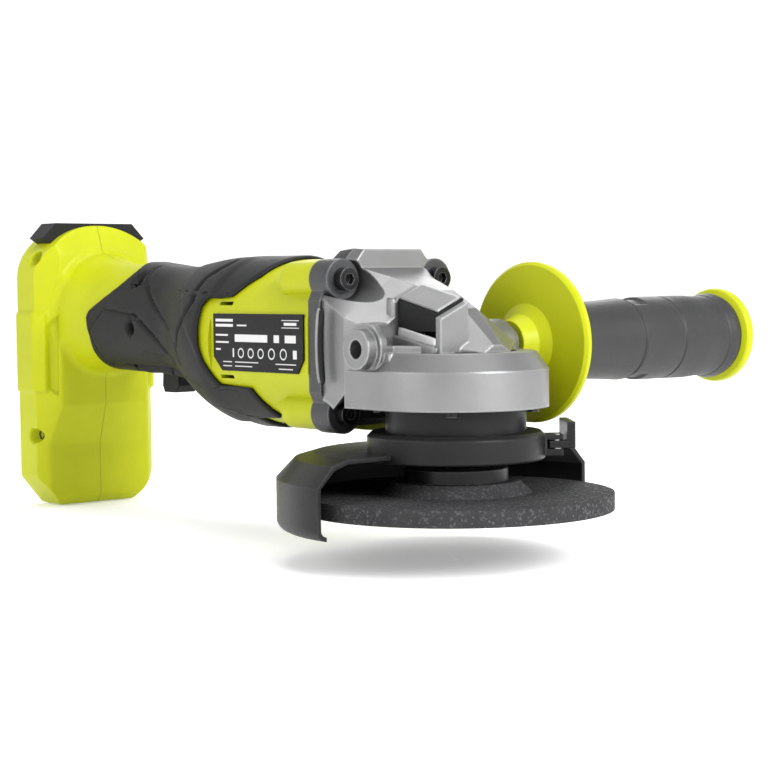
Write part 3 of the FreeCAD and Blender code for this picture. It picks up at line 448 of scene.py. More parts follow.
@dataclass(frozen=True)
class PlateFilm(Finish):
    """Dark film with plain white bars, boxes and rings in rows, and no lettering."""

    colour: Colour
    ink: Colour
    left: float = -0.1072
    top: float = 0.0710
    bars: tuple[tuple[float, float, float, float], ...] = ()
    rings: tuple[tuple[float, float, float], ...] = ()

    def make(self) -> bpy.types.Material:
        """Builds the material.

        Returns:
            The finished material.
        """
        g = Graph(self.name)
        x, _, z = g.axes()
        across = (x - self.left) * 1000
        down = (self.top - z) * 1000
        mark = across * 0
        for start, end, high, low in self.bars:
            mid_x, mid_z = (start + end) / 2, (high + low) / 2
            wide = (end - start) / 2 - (across - mid_x).math("ABSOLUTE")
            tall = (low - high) / 2 - (down - mid_z).math("ABSOLUTE")
            mark = mark.math("MAXIMUM", wide.math("MINIMUM", tall).between(0.0, 0.12))
        for mid_x, mid_z, radius in self.rings:
            far_x, far_z = across - mid_x, down - mid_z
            distance = (far_x * far_x + far_z * far_z).math("SQRT")
            band = 0.32 - (distance - radius).math("ABSOLUTE")
            mark = mark.math("MAXIMUM", band.between(0.0, 0.12))
        fine = g.noise(2200, 2)
        g.set("Base Color", g.mixed(mark, self.colour, self.ink))
        g.set("Specular IOR Level", 0.16)
        g.set("Roughness", 0.34 + (fine - 0.5) * 0.1 + mark * 0.08)
        g.relief(fine, 0.00001, 0.0002)
        return g.material


class Look(Enum):
    """The finishes of the tool, one for each kind of surface."""

    # The second colour of each moulding and of each casting is the paler tone painted on its edges as a
    # highlight.
    LIME = Moulded("lime_moulding", (0.440, 0.476, 0.003), (0.56, 0.60, 0.02), 0.44, specular=0.22)
    SEAMED = Moulded("lime_moulding_with_seam", (0.440, 0.476, 0.003), (0.56, 0.60, 0.02), 0.44, seam=0.0003,
                     specular=0.22)
    SKIN = Moulded("black_soft_skin", (0.013, 0.013, 0.0135), (0.04, 0.04, 0.04), 0.50, 1900, 0.00008,
                  specular=0.16)
    SLEEVE = Moulded("black_sleeve", (0.030, 0.030, 0.0305), (0.07, 0.07, 0.07), 0.46, 1300, 0.00012,
                    specular=0.3)
    BLACK = Moulded("black_moulding", (0.010, 0.010, 0.0105), (0.03, 0.03, 0.03), 0.42, 2600, 0.00005,
                   specular=0.14)
    CASE = Cast("blasted_alloy", (0.245, 0.245, 0.248), (0.52, 0.52, 0.52), 0.38, 0.82)
    ADAPTER = Cast("painted_grey_alloy", (0.070, 0.071, 0.073), (0.22, 0.22, 0.23), 0.42, 0.6, specular=0.3)
    GUARD = Cast("black_painted_steel", (0.014, 0.014, 0.0145), (0.05, 0.05, 0.05), 0.38, 0.2, 900, 0.00003,
                 specular=0.2)
    FLANGE = Steel("blackened_steel", (0.028, 0.028, 0.029), 0.36, 0.75)
    # Painted highlight: a pale metal for the strip that stands for the lit lower face of the lock button's
    # pocket.
    HIGHLIGHT_STRIP = Steel("painted_highlight_strip", (0.70, 0.70, 0.70), 0.34, 0.6)
    BRIGHT = Steel("turned_steel", (0.56, 0.56, 0.57), 0.26)
    SCREWS = Steel("black_oxide_screws", (0.020, 0.020, 0.021), 0.34, 0.7)
    GRIT = Grit("bonded_abrasive", (0.024, 0.024, 0.025), (0.095, 0.095, 0.10))
    COPPER = Steel("lacquered_copper", (0.60, 0.25, 0.12), 0.3, 1.0, 2400, 0.00005)
    BRASS = Steel("plated_contacts", (0.72, 0.52, 0.22), 0.24)
    IRON = Cast("sintered_iron", (0.10, 0.10, 0.105), (0.2, 0.2, 0.2), 0.5, 0.7)
    BOARD = Moulded("circuit_board", (0.02, 0.14, 0.05), (0.1, 0.3, 0.1), 0.3)
    PLATE = PlateFilm(
        "printed_film", (0.010, 0.010, 0.0105), (0.62, 0.62, 0.62),
        bars=((1.6, 13.5, 2.0, 3.2), (1.6, 13.5, 4.0, 5.2), (16.0, 22.5, 4.2, 4.9), (45.0, 56.0, 2.2, 2.6),
              (45.0, 56.0, 5.0, 5.4), (46.5, 54.5, 3.2, 4.4), (1.6, 10.0, 8.0, 8.8), (1.6, 10.5, 10.8, 11.6),
              (1.6, 5.0, 13.6, 14.4), (14.5, 36.0, 8.0, 11.0), (40.0, 43.5, 8.0, 11.0),
              (47.0, 54.0, 8.0, 11.0),
              (13.0, 14.0, 13.5, 17.0), (6.5, 12.5, 18.6, 19.1), (6.5, 12.5, 20.2, 20.7),
              (14.5, 30.0, 18.6, 19.1), (14.5, 26.0, 20.2, 20.7), (41.0, 54.0, 18.8, 19.3),
              (43.0, 52.0, 20.6, 21.1), (52.0, 54.5, 13.6, 17.0)),
        rings=((18.5, 15.3, 1.7), (25.0, 15.3, 1.7), (31.5, 15.3, 1.7), (38.5, 15.3, 1.9), (46.0, 15.3, 1.9)))


_MADE: dict[Look, bpy.types.Material] = {}


def material(look: Look) -> bpy.types.Material:
    """The material of a look, made once."""
    if look not in _MADE:
        _MADE[look] = look.value.make()
    return _MADE[look]


# ------------------------------------------------------------------ meshes
def grid_faces(rows: int, columns: int, round_rows: bool, round_columns: bool) -> np.ndarray:
    """Quads over a grid of vertices, joined end to end in the directions that close.

    Args:
        rows: how many rows of vertices.
        columns: how many vertices in a row.
        round_rows: the last row joins the first.
        round_columns: the last column joins the first.

    Returns:
        An array of four vertex numbers a face.
    """
    row = np.arange(rows if round_rows else rows - 1)[:, None]
    column = np.arange(columns if round_columns else columns - 1)[None, :]
    next_row, next_column = (row + 1) % rows, (column + 1) % columns
    corners = [row * columns + column, row * columns + next_column,
               next_row * columns + next_column, next_row * columns + column]
    return np.stack([np.broadcast_to(c, corners[0].shape) for c in corners], -1).reshape(-1, 4)


def surface(name: str, points: np.ndarray, faces: np.ndarray, look: Look) -> bpy.types.Object:
    """Makes a smooth-shaded object from points and quads.

    Args:
        name: the piece's name.
        points: its vertices in metres, one a row.
        faces: four vertex numbers a face.
        look: its finish.

    Returns:
        The new object.
    """
    mesh = bpy.data.meshes.new(name)
    mesh.from_pydata(points.reshape(-1, 3).tolist(), [], faces.tolist())
    mesh.polygons.foreach_set("use_smooth", np.ones(len(mesh.polygons), bool))
    mesh.materials.append(material(look))
    mesh.update()
    piece = bpy.data.objects.new(name, mesh)
    bpy.context.scene.collection.objects.link(piece)
    return piece


def shells(name: str, parts: Sequence[np.ndarray], look: Look) -> bpy.types.Object:
    """Makes one object of capped tubes.

    Args:
        name: the piece's name.
        parts: each tube's vertices in metres as rings of points.
        look: its finish.

    Returns:
        The new object.
    """
    mesh = bpy.data.meshes.new(name)
    vertices, faces, first = [], [], 0
    for rings in parts:
        rows, columns = rings.shape[:2]
        flat = rings.reshape(-1, 3)
        vertices += flat.tolist()
        faces += (grid_faces(rows, columns, False, True) + first).tolist()
        faces.append(list(range(first + columns - 1, first - 1, -1)))
        faces.append(list(range(first + (rows - 1) * columns, first + rows * columns)))
        first += len(flat)
    mesh.from_pydata(vertices, [], faces)
    mesh.materials.append(material(look))
    mesh.update()
    piece = bpy.data.objects.new(name, mesh)
    bpy.context.scene.collection.objects.link(piece)
    return piece


def tube(path: np.ndarray, sideways: np.ndarray, wide: float, deep: float, columns: int = 24,
         power: float = 2.0, taper: float = 0.0) -> np.ndarray:
    """Rings of a rounded bar carried along a path.

    Args:
        path: points of its middle line.
        sideways: the direction across the bar, for its width.
        wide: half its width.
        deep: half its depth.
        columns: vertices in a ring.
        power: 2 for an oval section, more for a squarer one.
        taper: how far the ends shrink, as a share.

    Returns:
        Rings of points.
    """
    step = np.gradient(path, axis=0)
    step /= np.linalg.norm(step, axis=1)[:, None]
    across = sideways - (step @ sideways)[:, None] * step
    across /= np.linalg.norm(across, axis=1)[:, None]
    over = np.cross(step, across)
    turn = np.linspace(0, 2 * np.pi, columns + 1)[:-1]
    c, s = np.cos(turn), np.sin(turn)
    u, w = np.sign(c) * np.abs(c) ** (2 / power), np.sign(s) * np.abs(s) ** (2 / power)
    t = np.linspace(-1, 1, len(path))
    size = (1 - taper * np.abs(t) ** 12)[:, None, None]
    ring = wide * u[None, :, None] * across[:, None] + deep * w[None, :, None] * over[:, None]
    return path[:, None] + size * ring


def along(at: np.ndarray, knots: Sequence[tuple[float, ...]], column: int = 1) -> np.ndarray:
    """A smooth curve through knots: cubic pieces whose slope at a knot is the mean of its two sides.

    Args:
        at: where to read the curve.
        knots: rows whose first number is the place, in rising order.
        column: which number of the rows to follow.

    Returns:
        The curve's value at each place; it runs level past its ends.
    """
    table = np.asarray(knots, float)
    x, y = table[:, 0], table[:, column]
    slope = np.gradient(y, x)
    inside = np.clip(at, x[0], x[-1])
    i = np.clip(np.searchsorted(x, inside, side="right") - 1, 0, len(x) - 2)
    span = x[i + 1] - x[i]
    t = (inside - x[i]) / span
    return ((2 * t**3 - 3 * t**2 + 1) * y[i] + (t**3 - 2 * t**2 + t) * span * slope[i]
            + (3 * t**2 - 2 * t**3) * y[i + 1] + (t**3 - t**2) * span * slope[i + 1])


def broken(at: np.ndarray, knots: Sequence[tuple[float, float]]) -> np.ndarray:
    """Straight runs through (place, value) knots."""
    table = np.asarray(knots, float)
    return np.interp(at, table[:, 0], table[:, 1])


def ease(values: np.ndarray, low: float, high: float) -> np.ndarray:
    """A soft step: 0 below low, 1 above high, and an S between them."""
    t = np.clip((values - low) / (high - low), 0, 1)
    return t * t * (3 - 2 * t)


def to_line(x: np.ndarray, z: np.ndarray, line: Sequence[tuple[float, float]]) -> np.ndarray:
    """Distance from each (x, z) to a run of straight segments.

    Args:
        x: first coordinates.
        z: second coordinates.
        line: the corners of the run.

    Returns:
        The shortest distance to any of its segments.
    """
    best = np.full(np.broadcast(x, z).shape, np.inf)
    for (ax, az), (bx, bz) in zip(line, line[1:]):
        dx, dz = bx - ax, bz - az
        t = np.clip(((x - ax) * dx + (z - az) * dz) / (dx * dx + dz * dz), 0, 1)
        best = np.minimum(best, np.hypot(x - ax - t * dx, z - az - t * dz))
    return best


def inside(x: np.ndarray, z: np.ndarray, outline: Sequence[tuple[float, float]]) -> np.ndarray:
    """How far each (x, z) lies inside a convex outline given clockwise seen from -Y; negative outside."""
    depth = np.full(np.broadcast(x, z).shape, np.inf)
    for (ax, az), (bx, bz) in zip(outline, outline[1:] + outline[:1]):
        length = math.hypot(bx - ax, bz - az)
        depth = np.minimum(depth, ((x - ax) * (bz - az) - (z - az) * (bx - ax)) / length)
    return depth


# ------------------------------------------------------------------ the grip's soft skin
@dataclass
class GripSkin:
    """Soft black skin round the grip and the back of the motor barrel, in two halves.

    Sizes are millimetres. Sections are ovals whose half width, lowest and highest point follow
    the stations; the far edges run along the rear and front outlines.
    """

    stations: tuple[tuple[float, ...], ...] = (
        # X, half width, lowest, highest, squareness
        (-232, 22.6, 44.2, 94.2, 2.3), (-226, 21.9, 45.0, 93.4, 2.4), (-202, 21.4, 45.0, 92.3, 2.5),
        (-186, 21.3, 45.0, 90.7, 2.5), (-171, 21.3, 45.0, 89.2, 2.5), (-163, 21.4, 44.8, 88.9, 2.5),
        (-153, 23.4, 42.4, 89.3, 2.4), (-139, 29.2, 34.2, 90.9, 2.15), (-128, 32.5, 28.4, 92.2, 2.02),
        (-118, 33.7, 25.5, 92.7, 2.0), (-104, 33.6, 25.4, 92.6, 2.0), (-60, 33.4, 25.6, 92.4, 2.0))
    rear: tuple[tuple[float, float], ...] = (
        (0.0, -195.5), (0.05, -195.5), (0.1, -193.5), (0.15, -191.8), (0.2, -191.3), (0.25, -192.3),
        (0.3, -194.3), (0.35, -198.0), (0.4, -203.5), (0.45, -211.3), (0.49, -219.3), (0.505, -221.0),
        (0.55, -220.6), (0.6, -219.6), (0.7, -220.5), (1.0, -221.5))
    front: tuple[tuple[float, float], ...] = (
        (0.0, -86.0), (0.1, -87.5), (0.21, -90.5), (0.306, -99.0), (0.311, -112.5), (0.33, -115.5),
        (0.36, -117.0),
        (0.43, -116.4), (0.51, -115.4), (0.57, -113.2), (0.63, -109.2), (0.668, -106.0), (0.673, -86.5),
        (0.815, -81.5), (0.825, -97.0), (1.0, -97.0))
    slot: float = 13.2
    slot_ends: tuple[float, float] = (-196.6, -108.4)
    wall: float = 1.2
    wedge: tuple[tuple[float, float], ...] = (
        (-118.0, 89.5), (-124.0, 84.0), (-124.5, 79.0), (-123.5, 75.0), (-126.5, 70.5), (-133.0, 63.0),
        (-134.5, 58.5))
    seam: tuple[tuple[float, float], ...] = (
        (-182.0, 89.0), (-173.0, 80.1), (-163.0, 71.8), (-147.0, 62.6), (-137.0, 57.6), (-134.0, 50.0))
    pad: tuple[tuple[float, float], ...] = (
        (-217.5, 63.0), (-205.0, 71.2), (-181.0, 69.2), (-168.0, 61.5), (-152.0, 50.0), (-213.0, 49.0))
    recesses: tuple[tuple[float, float, float], ...] = ((-184.0, 84.0, 3.3), (-184.0, 64.0, 3.4))
    rows: int = 250
    columns: int = 124

    def relief(self, x: np.ndarray, z: np.ndarray, side: int) -> np.ndarray:
        """Height of the moulded detail over the plain skin.

        Args:
            x: places along the tool.
            z: heights.
            side: -1 for the right half, which has the screw recesses, 1 for the left.

        Returns:
            The height: grooves and recesses below 0, the raised pad above.
        """
        groove = 1.3 * (1 - ease(to_line(x, z, self.wedge), 0.6, 1.9))
        shelf = 0.55 * ease(x + 0.9 * (z - 70), -130.5, -127.0) * ease(-x, 108.0, 114.0)
        crease = 0.75 * (1 - ease(to_line(x, z, self.seam), 0.2, 1.4))
        raised = 0.5 * ease(inside(x, z, self.pad), 0.0, 0.8)
        border = 0.55 * (1 - ease(np.abs(inside(x, z, self.pad) + 0.6), 0.2, 1.2))
        height = raised + shelf - groove - crease - border
        for mid_x, mid_z, radius in self.recesses if side < 0 else ():
            reach = np.hypot(x - mid_x, z - mid_z)
            height = height - 4.2 * (1 - ease(reach, radius - 0.5, radius + 0.3))
        return height

    def half(self, name: str, side: int) -> bpy.types.Object:
        """Builds one half of the skin.

        Args:
            name: the piece's name.
            side: -1 for the right half, 1 for the left.

        Returns:
            The half as a closed piece.
        """
        edges = [place for place, _ in self.rear + self.front]
        v = np.unique(np.concatenate([np.linspace(0, 1, self.columns), edges]))[None, :]
        u = np.linspace(0, 1, self.rows)[:, None]
        start, end = broken(v, self.rear), broken(v, self.front)
        x = start + (end - start) * u
        width, low, top, square = (along(x, self.stations, k) for k in (1, 2, 3, 4))
        open_slot = ease(x, self.slot_ends[0] - 1.5, self.slot_ends[0]) * (
            1 - ease(x, self.slot_ends[1], self.slot_ends[1] + 1.5))
        lip = self.slot + 1.5 * np.exp(-((x + 152) / 7.0) ** 2)
        edge_turn = np.pi - np.arcsin(np.clip(lip / width, 0, 1) ** (square / 2))
        fixed = 0.7
        last = np.pi + (edge_turn - np.pi) * open_slot
        stretched = fixed * np.pi + (v - fixed) / (1 - fixed) * (last - fixed * np.pi)
        turn = np.where(v < fixed, v * np.pi, stretched)
        across = np.abs(np.sin(turn)) ** (2 / square)
        upright = np.sign(np.cos(turn)) * np.abs(np.cos(turn)) ** (2 / square)
        middle, tall = (top + low) / 2, (top - low) / 2
        y, z = width * across, middle + tall * upright
        edge = np.minimum(np.minimum(x - start, end - x), 4.0)
        rolled = 0.5 * (1 - ease(edge, 0.0, 1.2))
        lift = self.relief(x, z, side) * ease(y, 4.0, 9.0) - rolled
        length = np.hypot(y, z - middle)
        y, z = y + lift * y / length, z + lift * (z - middle) / length
        points = np.stack([x, side * y, z], -1) * MM
        faces = grid_faces(*x.shape, False, False)
        skin = surface(name, points, faces if side > 0 else faces[:, ::-1], Look.SKIN)
        solid = skin.modifiers.new("wall", "SOLIDIFY")
        solid.thickness, solid.offset = self.wall * MM, -1.0
        return skin

    def build(self) -> None:
        """Builds both halves in place of the plain CAD skins."""
        for ending, side in (("right", -1), ("left", 1)):
            skin = self.half(f"grip_skin_{ending}", side)
            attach(skin, "tool")
            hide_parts(f"grip_overmould_{ending}")
            LOG.info("%s: %d faces", skin.name, len(skin.data.polygons))


# ------------------------------------------------------------------ the paddle
@dataclass
class Paddle:
    """Black paddle under the grip: two rails beside the lock-off slot, and one broad curved front.

    Sizes are millimetres; its lower and upper edges are curves along X.
    """

    low: tuple[tuple[float, float], ...] = (
        (-195.0, 45.6), (-188.0, 44.4), (-174.0, 44.2), (-165.0, 43.0), (-155.0, 41.8), (-148.0, 39.9),
        (-141.0, 37.0), (-130.0, 32.0), (-120.0, 27.9), (-114.0, 26.8), (-111.0, 28.6))
    high: tuple[tuple[float, float], ...] = (
        (-195.0, 49.0), (-188.0, 50.0), (-151.0, 50.0), (-142.0, 47.0), (-132.0, 41.6), (-120.0, 36.8),
        (-114.0, 35.8), (-111.0, 32.4))
    half_width: float = 12.5
    rails: tuple[tuple[float, float, float, float], ...] = (
        # X start, X end, Y from, Y to
        (-195.0, -166.8, -12.5, -5.4), (-195.0, -166.8, 5.4, 12.5), (-195.0, -190.6, -12.4, 12.4),
        (-167.9, -111.0, -12.5, 12.5))

    def build(self) -> None:
        """Builds the paddle in place of the plain CAD one."""
        parts = []
        turn = np.linspace(0, 2 * np.pi, 49)[:-1]
        c, s = np.cos(turn), np.sin(turn)
        u, w = np.sign(c) * np.abs(c) ** 0.3, np.sign(s) * np.abs(s) ** 0.3
        for start, end, near, far in self.rails:
            x = np.linspace(start, end, 60)[:, None]
            low, high = along(x, self.low), broken(x, self.high)
            t = np.linspace(-1, 1, 60)[:, None]
            size = 1 - 0.12 * np.abs(t) ** 24
            y = (near + far) / 2 + (far - near) / 2 * u * size
            z = (low + high) / 2 + (high - low) / 2 * w * size
            parts.append(np.stack([x + 0 * y, y, z], -1) * MM)
        paddle = shells("paddle_bar", parts, Look.BLACK)
        paddle.data.polygons.foreach_set("use_smooth", np.ones(len(paddle.data.polygons), bool))
        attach(paddle, "paddle")
        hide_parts("paddle_lever")
        LOG.info("%s: %d faces", paddle.name, len(paddle.data.polygons))


# ------------------------------------------------------------------ gear head details
@dataclass
class HeadDetails:
    """Small castings on the gear head: the lock button's frame and cap, a pale strip of painted highlight in
    the pocket, and the vent beside it, whose opening is a black bar of painted shade.

    Sizes are millimetres.
    """

    frame: tuple[tuple[tuple[float, float, float], ...], ...] = (
        # bars by their ends, in X, Y, Z: sill, jamb
        ((-12.6, -21.6, 61.9), (14.4, -21.6, 57.2)), ((-10.8, -21.0, 60.6), (-10.6, -21.0, 77.0)))
    frame_size: tuple[tuple[float, float], ...] = ((2.5, 0.9), (1.9, 1.2))
    # the ends of the pale strip painted as the pocket's lit lower face
    strip: tuple[tuple[float, float, float], ...] = ((-7.4, -20.5, 64.9), (13.0, -20.5, 60.9))
    vent_x: float = -35.2
    vent_y: float = -33.5
    vent_z: tuple[float, float] = (45.6, 73.4)

    def bar(self, start: Sequence[float], end: Sequence[float], wide: float, deep: float) -> np.ndarray:
        """A squarish bar between two points, broad in Z or X and thin in Y."""
        line = np.linspace(0, 1, 14)[:, None]
        path = np.asarray(start) + (np.asarray(end) - np.asarray(start)) * line
        sideways = np.array([0.1, 0.0, 1.0]) if abs(end[0] - start[0]) > abs(end[2] - start[2]) else np.array(
            [1.0, 0.0, 0.0])
        return tube(path, sideways, wide, deep, 32, 5.0, 0.1) * MM

    def ride(self, piece: bpy.types.Object, body: str) -> None:
        """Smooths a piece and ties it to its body."""
        piece.data.polygons.foreach_set("use_smooth", np.ones(len(piece.data.polygons), bool))
        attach(piece, body)
        LOG.info("%s: %d faces", piece.name, len(piece.data.polygons))

    def build(self) -> None:
        """Builds the frame, the pale strip of painted highlight, the button's cap, and the vent as a black
        bar of painted shade with its rim.
        """
        bars = [self.bar(*ends, *size) for ends, size in zip(self.frame, self.frame_size)]
        self.ride(shells("pocket_frame", bars, Look.CASE), "tool")
        # Painted highlight: a pale strip stands for the lit lower face of the pocket, which is case alloy.
        strip = shells("pocket_highlight_strip", [self.bar(*self.strip, 1.7, 0.35)], Look.HIGHLIGHT_STRIP)
        self.ride(strip, "tool")
        x, y = np.meshgrid(np.linspace(-7.6, 13.0, 24), np.linspace(-19.8, -8.6, 14), indexing="ij")
        z = 71.62 - 0.237 * (x - 13.4) + 0.434 * (y + 20.0)
        cap = surface("lock_button_cap", np.stack([x, y, z], -1) * MM,
                      grid_faces(24, 14, False, False), Look.CASE)
        solid = cap.modifiers.new("wall", "SOLIDIFY")
        solid.thickness, solid.offset = 0.5 * MM, -1.0
        self.ride(cap, "lock_button")
        # Painted shade: the vent's opening is a black bar laid on the wall, standing for the shade inside the
        # slot.
        t = np.linspace(0, 1, 40)
        low, high = self.vent_z
        bow = 1.3 * np.sin(np.pi * t)
        path = np.stack([self.vent_x - bow, self.vent_y + 0 * t, low + (high - low) * t], -1)
        across = np.array([1.0, 0.0, 0.0])
        self.ride(shells("vent_shade_bar", [tube(path, across, 1.25, 0.7, 24, 2.6, 0.6) * MM], Look.BLACK),
                  "tool")
        rim = path + np.array([-1.9, -0.1, 0.0])
        self.ride(shells("vent_rim", [tube(rim, across, 0.75, 0.9, 20, 2.2, 0.6) * MM], Look.CASE),
                  "tool")


# ------------------------------------------------------------------ the foot and its collar
@dataclass
class Foot:
    """Lime foot with the battery seat behind and the collar that runs forward under the grip's skin.

    One closed surface of rings round the grip's axis, in millimetres: socket, seat, rim, sides,
    front face, collar, and back inside the collar to the socket.
    """

    centre: float = 69.5
    corners: tuple[tuple[float, float], ...] = (
        (0.0, -18.7), (20.0, -18.7), (31.0, -5.5), (31.0, 20.0), (31.0, 86.0))
    arch_rise: float = 24.2
    rim: float = -268.0
    seat: float = -265.6
    tunnel: float = -240.6
    socket: tuple[float, float, float] = (13.5, 54.0, 82.0)
    collar: tuple[tuple[float, ...], ...] = (
        # X, half width, rise above the centre, drop below it
        (-244, 23.4, 27.8, 27.0), (-238, 22.9, 26.9, 26.2), (-230, 21.9, 24.4, 25.0),
        (-222, 21.0, 22.9, 24.1), (-202, 20.5, 21.9, 23.7), (-184, 20.4, 19.9, 23.7))
    collar_end: float = -188.0
    collar_low_end: float = -198.0
    fillet: float = 3.6
    screws: tuple[tuple[float, float, float, float], ...] = (
        # X, Z, half length, half height
        (-254.0, 95.0, 4.6, 3.3), (-254.0, 14.0, 4.6, 3.3))
    panel_rise: float = 1.7
    recess_depth: float = 1.5
    pocket_depth: float = 5.0
    tunnel_steps: tuple[float, float] = (-250.0, -260.0)
    columns: int = 384

    def outline(self) -> np.ndarray:
        """The foot's outer edge seen from the front, as (Y, Z) points evenly round it."""
        arch = np.linspace(0, np.pi / 2, 40)[1:]
        _, shoulder = self.corners[-1]
        half = np.concatenate([self.corners, np.stack(
            [31.0 * np.cos(arch), shoulder + self.arch_rise * np.sin(arch)], -1)])
        loop = np.concatenate([half, half[-2:0:-1] * (-1, 1), half[:1]])
        far = np.concatenate([[0], np.cumsum(np.hypot(*np.diff(loop, axis=0).T))])
        places = np.linspace(0, far[-1], self.columns + 1)[:-1]
        even = np.stack([np.interp(places, far, loop[:, k]) for k in (0, 1)], -1)
        kernel = np.ones(3) / 3
        for k in (0, 1):
            padded = np.concatenate([even[-1:, k], even[:, k], even[:1, k]])
            even[:, k] = np.convolve(padded, kernel, "valid")
        return even

    def front(self, y: np.ndarray, z: np.ndarray) -> np.ndarray:
        """X of the front: flat above, stepped forward below, cut back at the sides, top and foot.

        Args:
            y: places across.
            z: heights.

        Returns:
            X of the front face there.
        """
        flat = broken(z, ((9.5, -248.0), (28.0, -242.0)))
        edge = broken(z, ((9.5, 26.6), (28.0, 23.0)))
        side = flat - np.maximum(np.abs(y) - edge, -1.5) * broken(z, ((9.5, 0.9), (28.0, 1.25)))
        top = -242.0 - (z - 97.0) * 0.38
        sole = -248.0 - (-14.8 - z) * 0.95
        bands = np.stack(np.broadcast_arrays(flat, side, top, sole))
        sharp = 0.45
        return -sharp * np.log(np.exp(-(bands - bands.min(0)) / sharp).sum(0)) + bands.min(0)

    def dressed(self, points: np.ndarray) -> np.ndarray:
        """Adds the raised side panels, the recess in front of each, and the screw pockets.

        Args:
            points: the plain surface.

        Returns:
            The surface with its details.
        """
        x, y, z = (points[..., k].copy() for k in range(3))
        wide = np.abs(y)
        chamfered = x > -252.0
        along_side = np.where(chamfered, 16.0 + np.hypot(x + 252.0, wide - 31.0), x + 268.0)
        outer = ease(wide, 20.5, 22.0) * ease(x, -268.0, -266.5)
        band = ease(z, 33.2, 34.6) * (1 - ease(z, 69.8, 71.2))
        panel = self.panel_rise * band * ease(along_side, 0.8, 2.0) * (1 - ease(along_side, 21.0, 22.6))
        dip = np.minimum(z - 35.5 + (along_side - 22.0) * 0.6, 64.5 + (along_side - 22.0) - z)
        strip = ease(along_side, 21.8, 22.6) * (1 - ease(along_side, 26.6, 27.5))
        recess = self.recess_depth * ease(dip, -0.4, 0.8) * strip
        lift = (panel - recess) * outer
        pocket = np.zeros_like(x)
        for mid_x, mid_z, long, tall in self.screws:
            reach = np.hypot((x - mid_x) / long, (z - mid_z) / tall)
            dent = self.pocket_depth * (1 - ease(reach, 0.86, 1.02))
            pocket = np.maximum(pocket, dent * (y < 0) * (wide > 20))
        lean = np.where(chamfered, 0.62, 0.0)
        out = np.sign(y)
        x = x + lift * lean
        y = y + out * (lift * np.sqrt(1 - lean**2) - pocket)
        return np.stack([x, y, z], -1)

    def rings(self) -> np.ndarray:
        """All the rings in order, from the socket outwards and forward, then back inside."""
        edge = self.outline()
        away = edge - (0.0, self.centre)
        reach = np.hypot(*away.T)
        ray = away / reach[:, None]
        step = np.roll(edge, -1, 0) - np.roll(edge, 1, 0)
        normal = np.stack([step[:, 1], -step[:, 0]], -1) / np.hypot(*step.T)[:, None]
        slant = np.clip((ray * normal).sum(1), 0.35, 1)

        def ring(radius: np.ndarray, x: np.ndarray | float) -> np.ndarray:
            """A ring at a radius along each ray and at X."""
            flat = ray * np.asarray(radius)[:, None] + (0.0, self.centre)
            return np.column_stack([np.broadcast_to(x, len(ray)), flat])

        half, low, high = self.socket
        tall = np.where(ray[:, 1] > 0, high - self.centre, self.centre - low)
        square = np.minimum(half / np.maximum(np.abs(ray[:, 0]), 1e-6),
                            tall / np.maximum(np.abs(ray[:, 1]), 1e-6))
        made = [ring(square, x) for x in (self.tunnel, *self.tunnel_steps, self.seat - 0.5)]
        ledge = reach - 3.4 / slant
        made += [ring(square + 0.5 + (ledge - square - 0.5) * t, self.seat) for t in np.linspace(0, 1, 12)]
        made += [ring(ledge, self.rim + 0.5), ring(reach - 2.9 / slant, self.rim),
                 ring(reach - 0.7 / slant, self.rim)]
        rise = self.front(*edge.T)
        side_start = self.rim + 0.7
        made += [ring(reach, side_start + (rise - self.rim - 0.7) * t)
                 for t in np.linspace(0, 1, 34)[:-1]]

        def oval(x: np.ndarray | float) -> np.ndarray:
            """Radius of the collar along each ray at X."""
            width, up, down = (along(np.broadcast_to(x, len(ray)), self.collar, k) for k in (1, 2, 3))
            tallness = np.where(ray[:, 1] > 0, up, down)
            power = 2.25
            across = np.abs(ray[:, 0] / width) ** power
            return (across + np.abs(ray[:, 1] / tallness) ** power) ** (-1 / power)

        foot_line = np.minimum(oval(-241.0) + self.fillet, reach - 0.4)
        for t in np.linspace(0, 1, 84):
            radius = reach + (foot_line - reach) * t
            flat = ray * radius[:, None] + (0.0, self.centre)
            made.append(ring(radius, self.front(*flat.T)))
        base = made[-1][:, 0]
        for bend in np.linspace(0, np.pi / 2, 8)[1:]:
            x = base + self.fillet * (1 - np.cos(bend))
            made.append(ring(oval(x) + (foot_line - oval(base)) * (1 - np.sin(bend)), x))
        start = made[-1][:, 0]
        end = np.where(ray[:, 1] > -0.2, self.collar_end, self.collar_low_end)
        for t in np.linspace(0, 1, 26)[1:]:
            x = start + (end - start) * t
            made.append(ring(oval(x), x))
        made += [ring(oval(end) - 1.4, end), ring(oval(-236.0) * 0.8, -236.0)]
        return np.stack(made)

    def build(self) -> None:
        """Builds the foot in place of both plain CAD halves."""
        points = self.dressed(self.rings())
        rows = len(points)
        foot = surface("foot_shell", points * MM, grid_faces(rows, self.columns, True, True)[:, ::-1],
                       Look.SEAMED)
        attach(foot, "tool")
        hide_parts("foot_right", "foot_left")
        LOG.info("%s: %d faces", foot.name, len(foot.data.polygons))


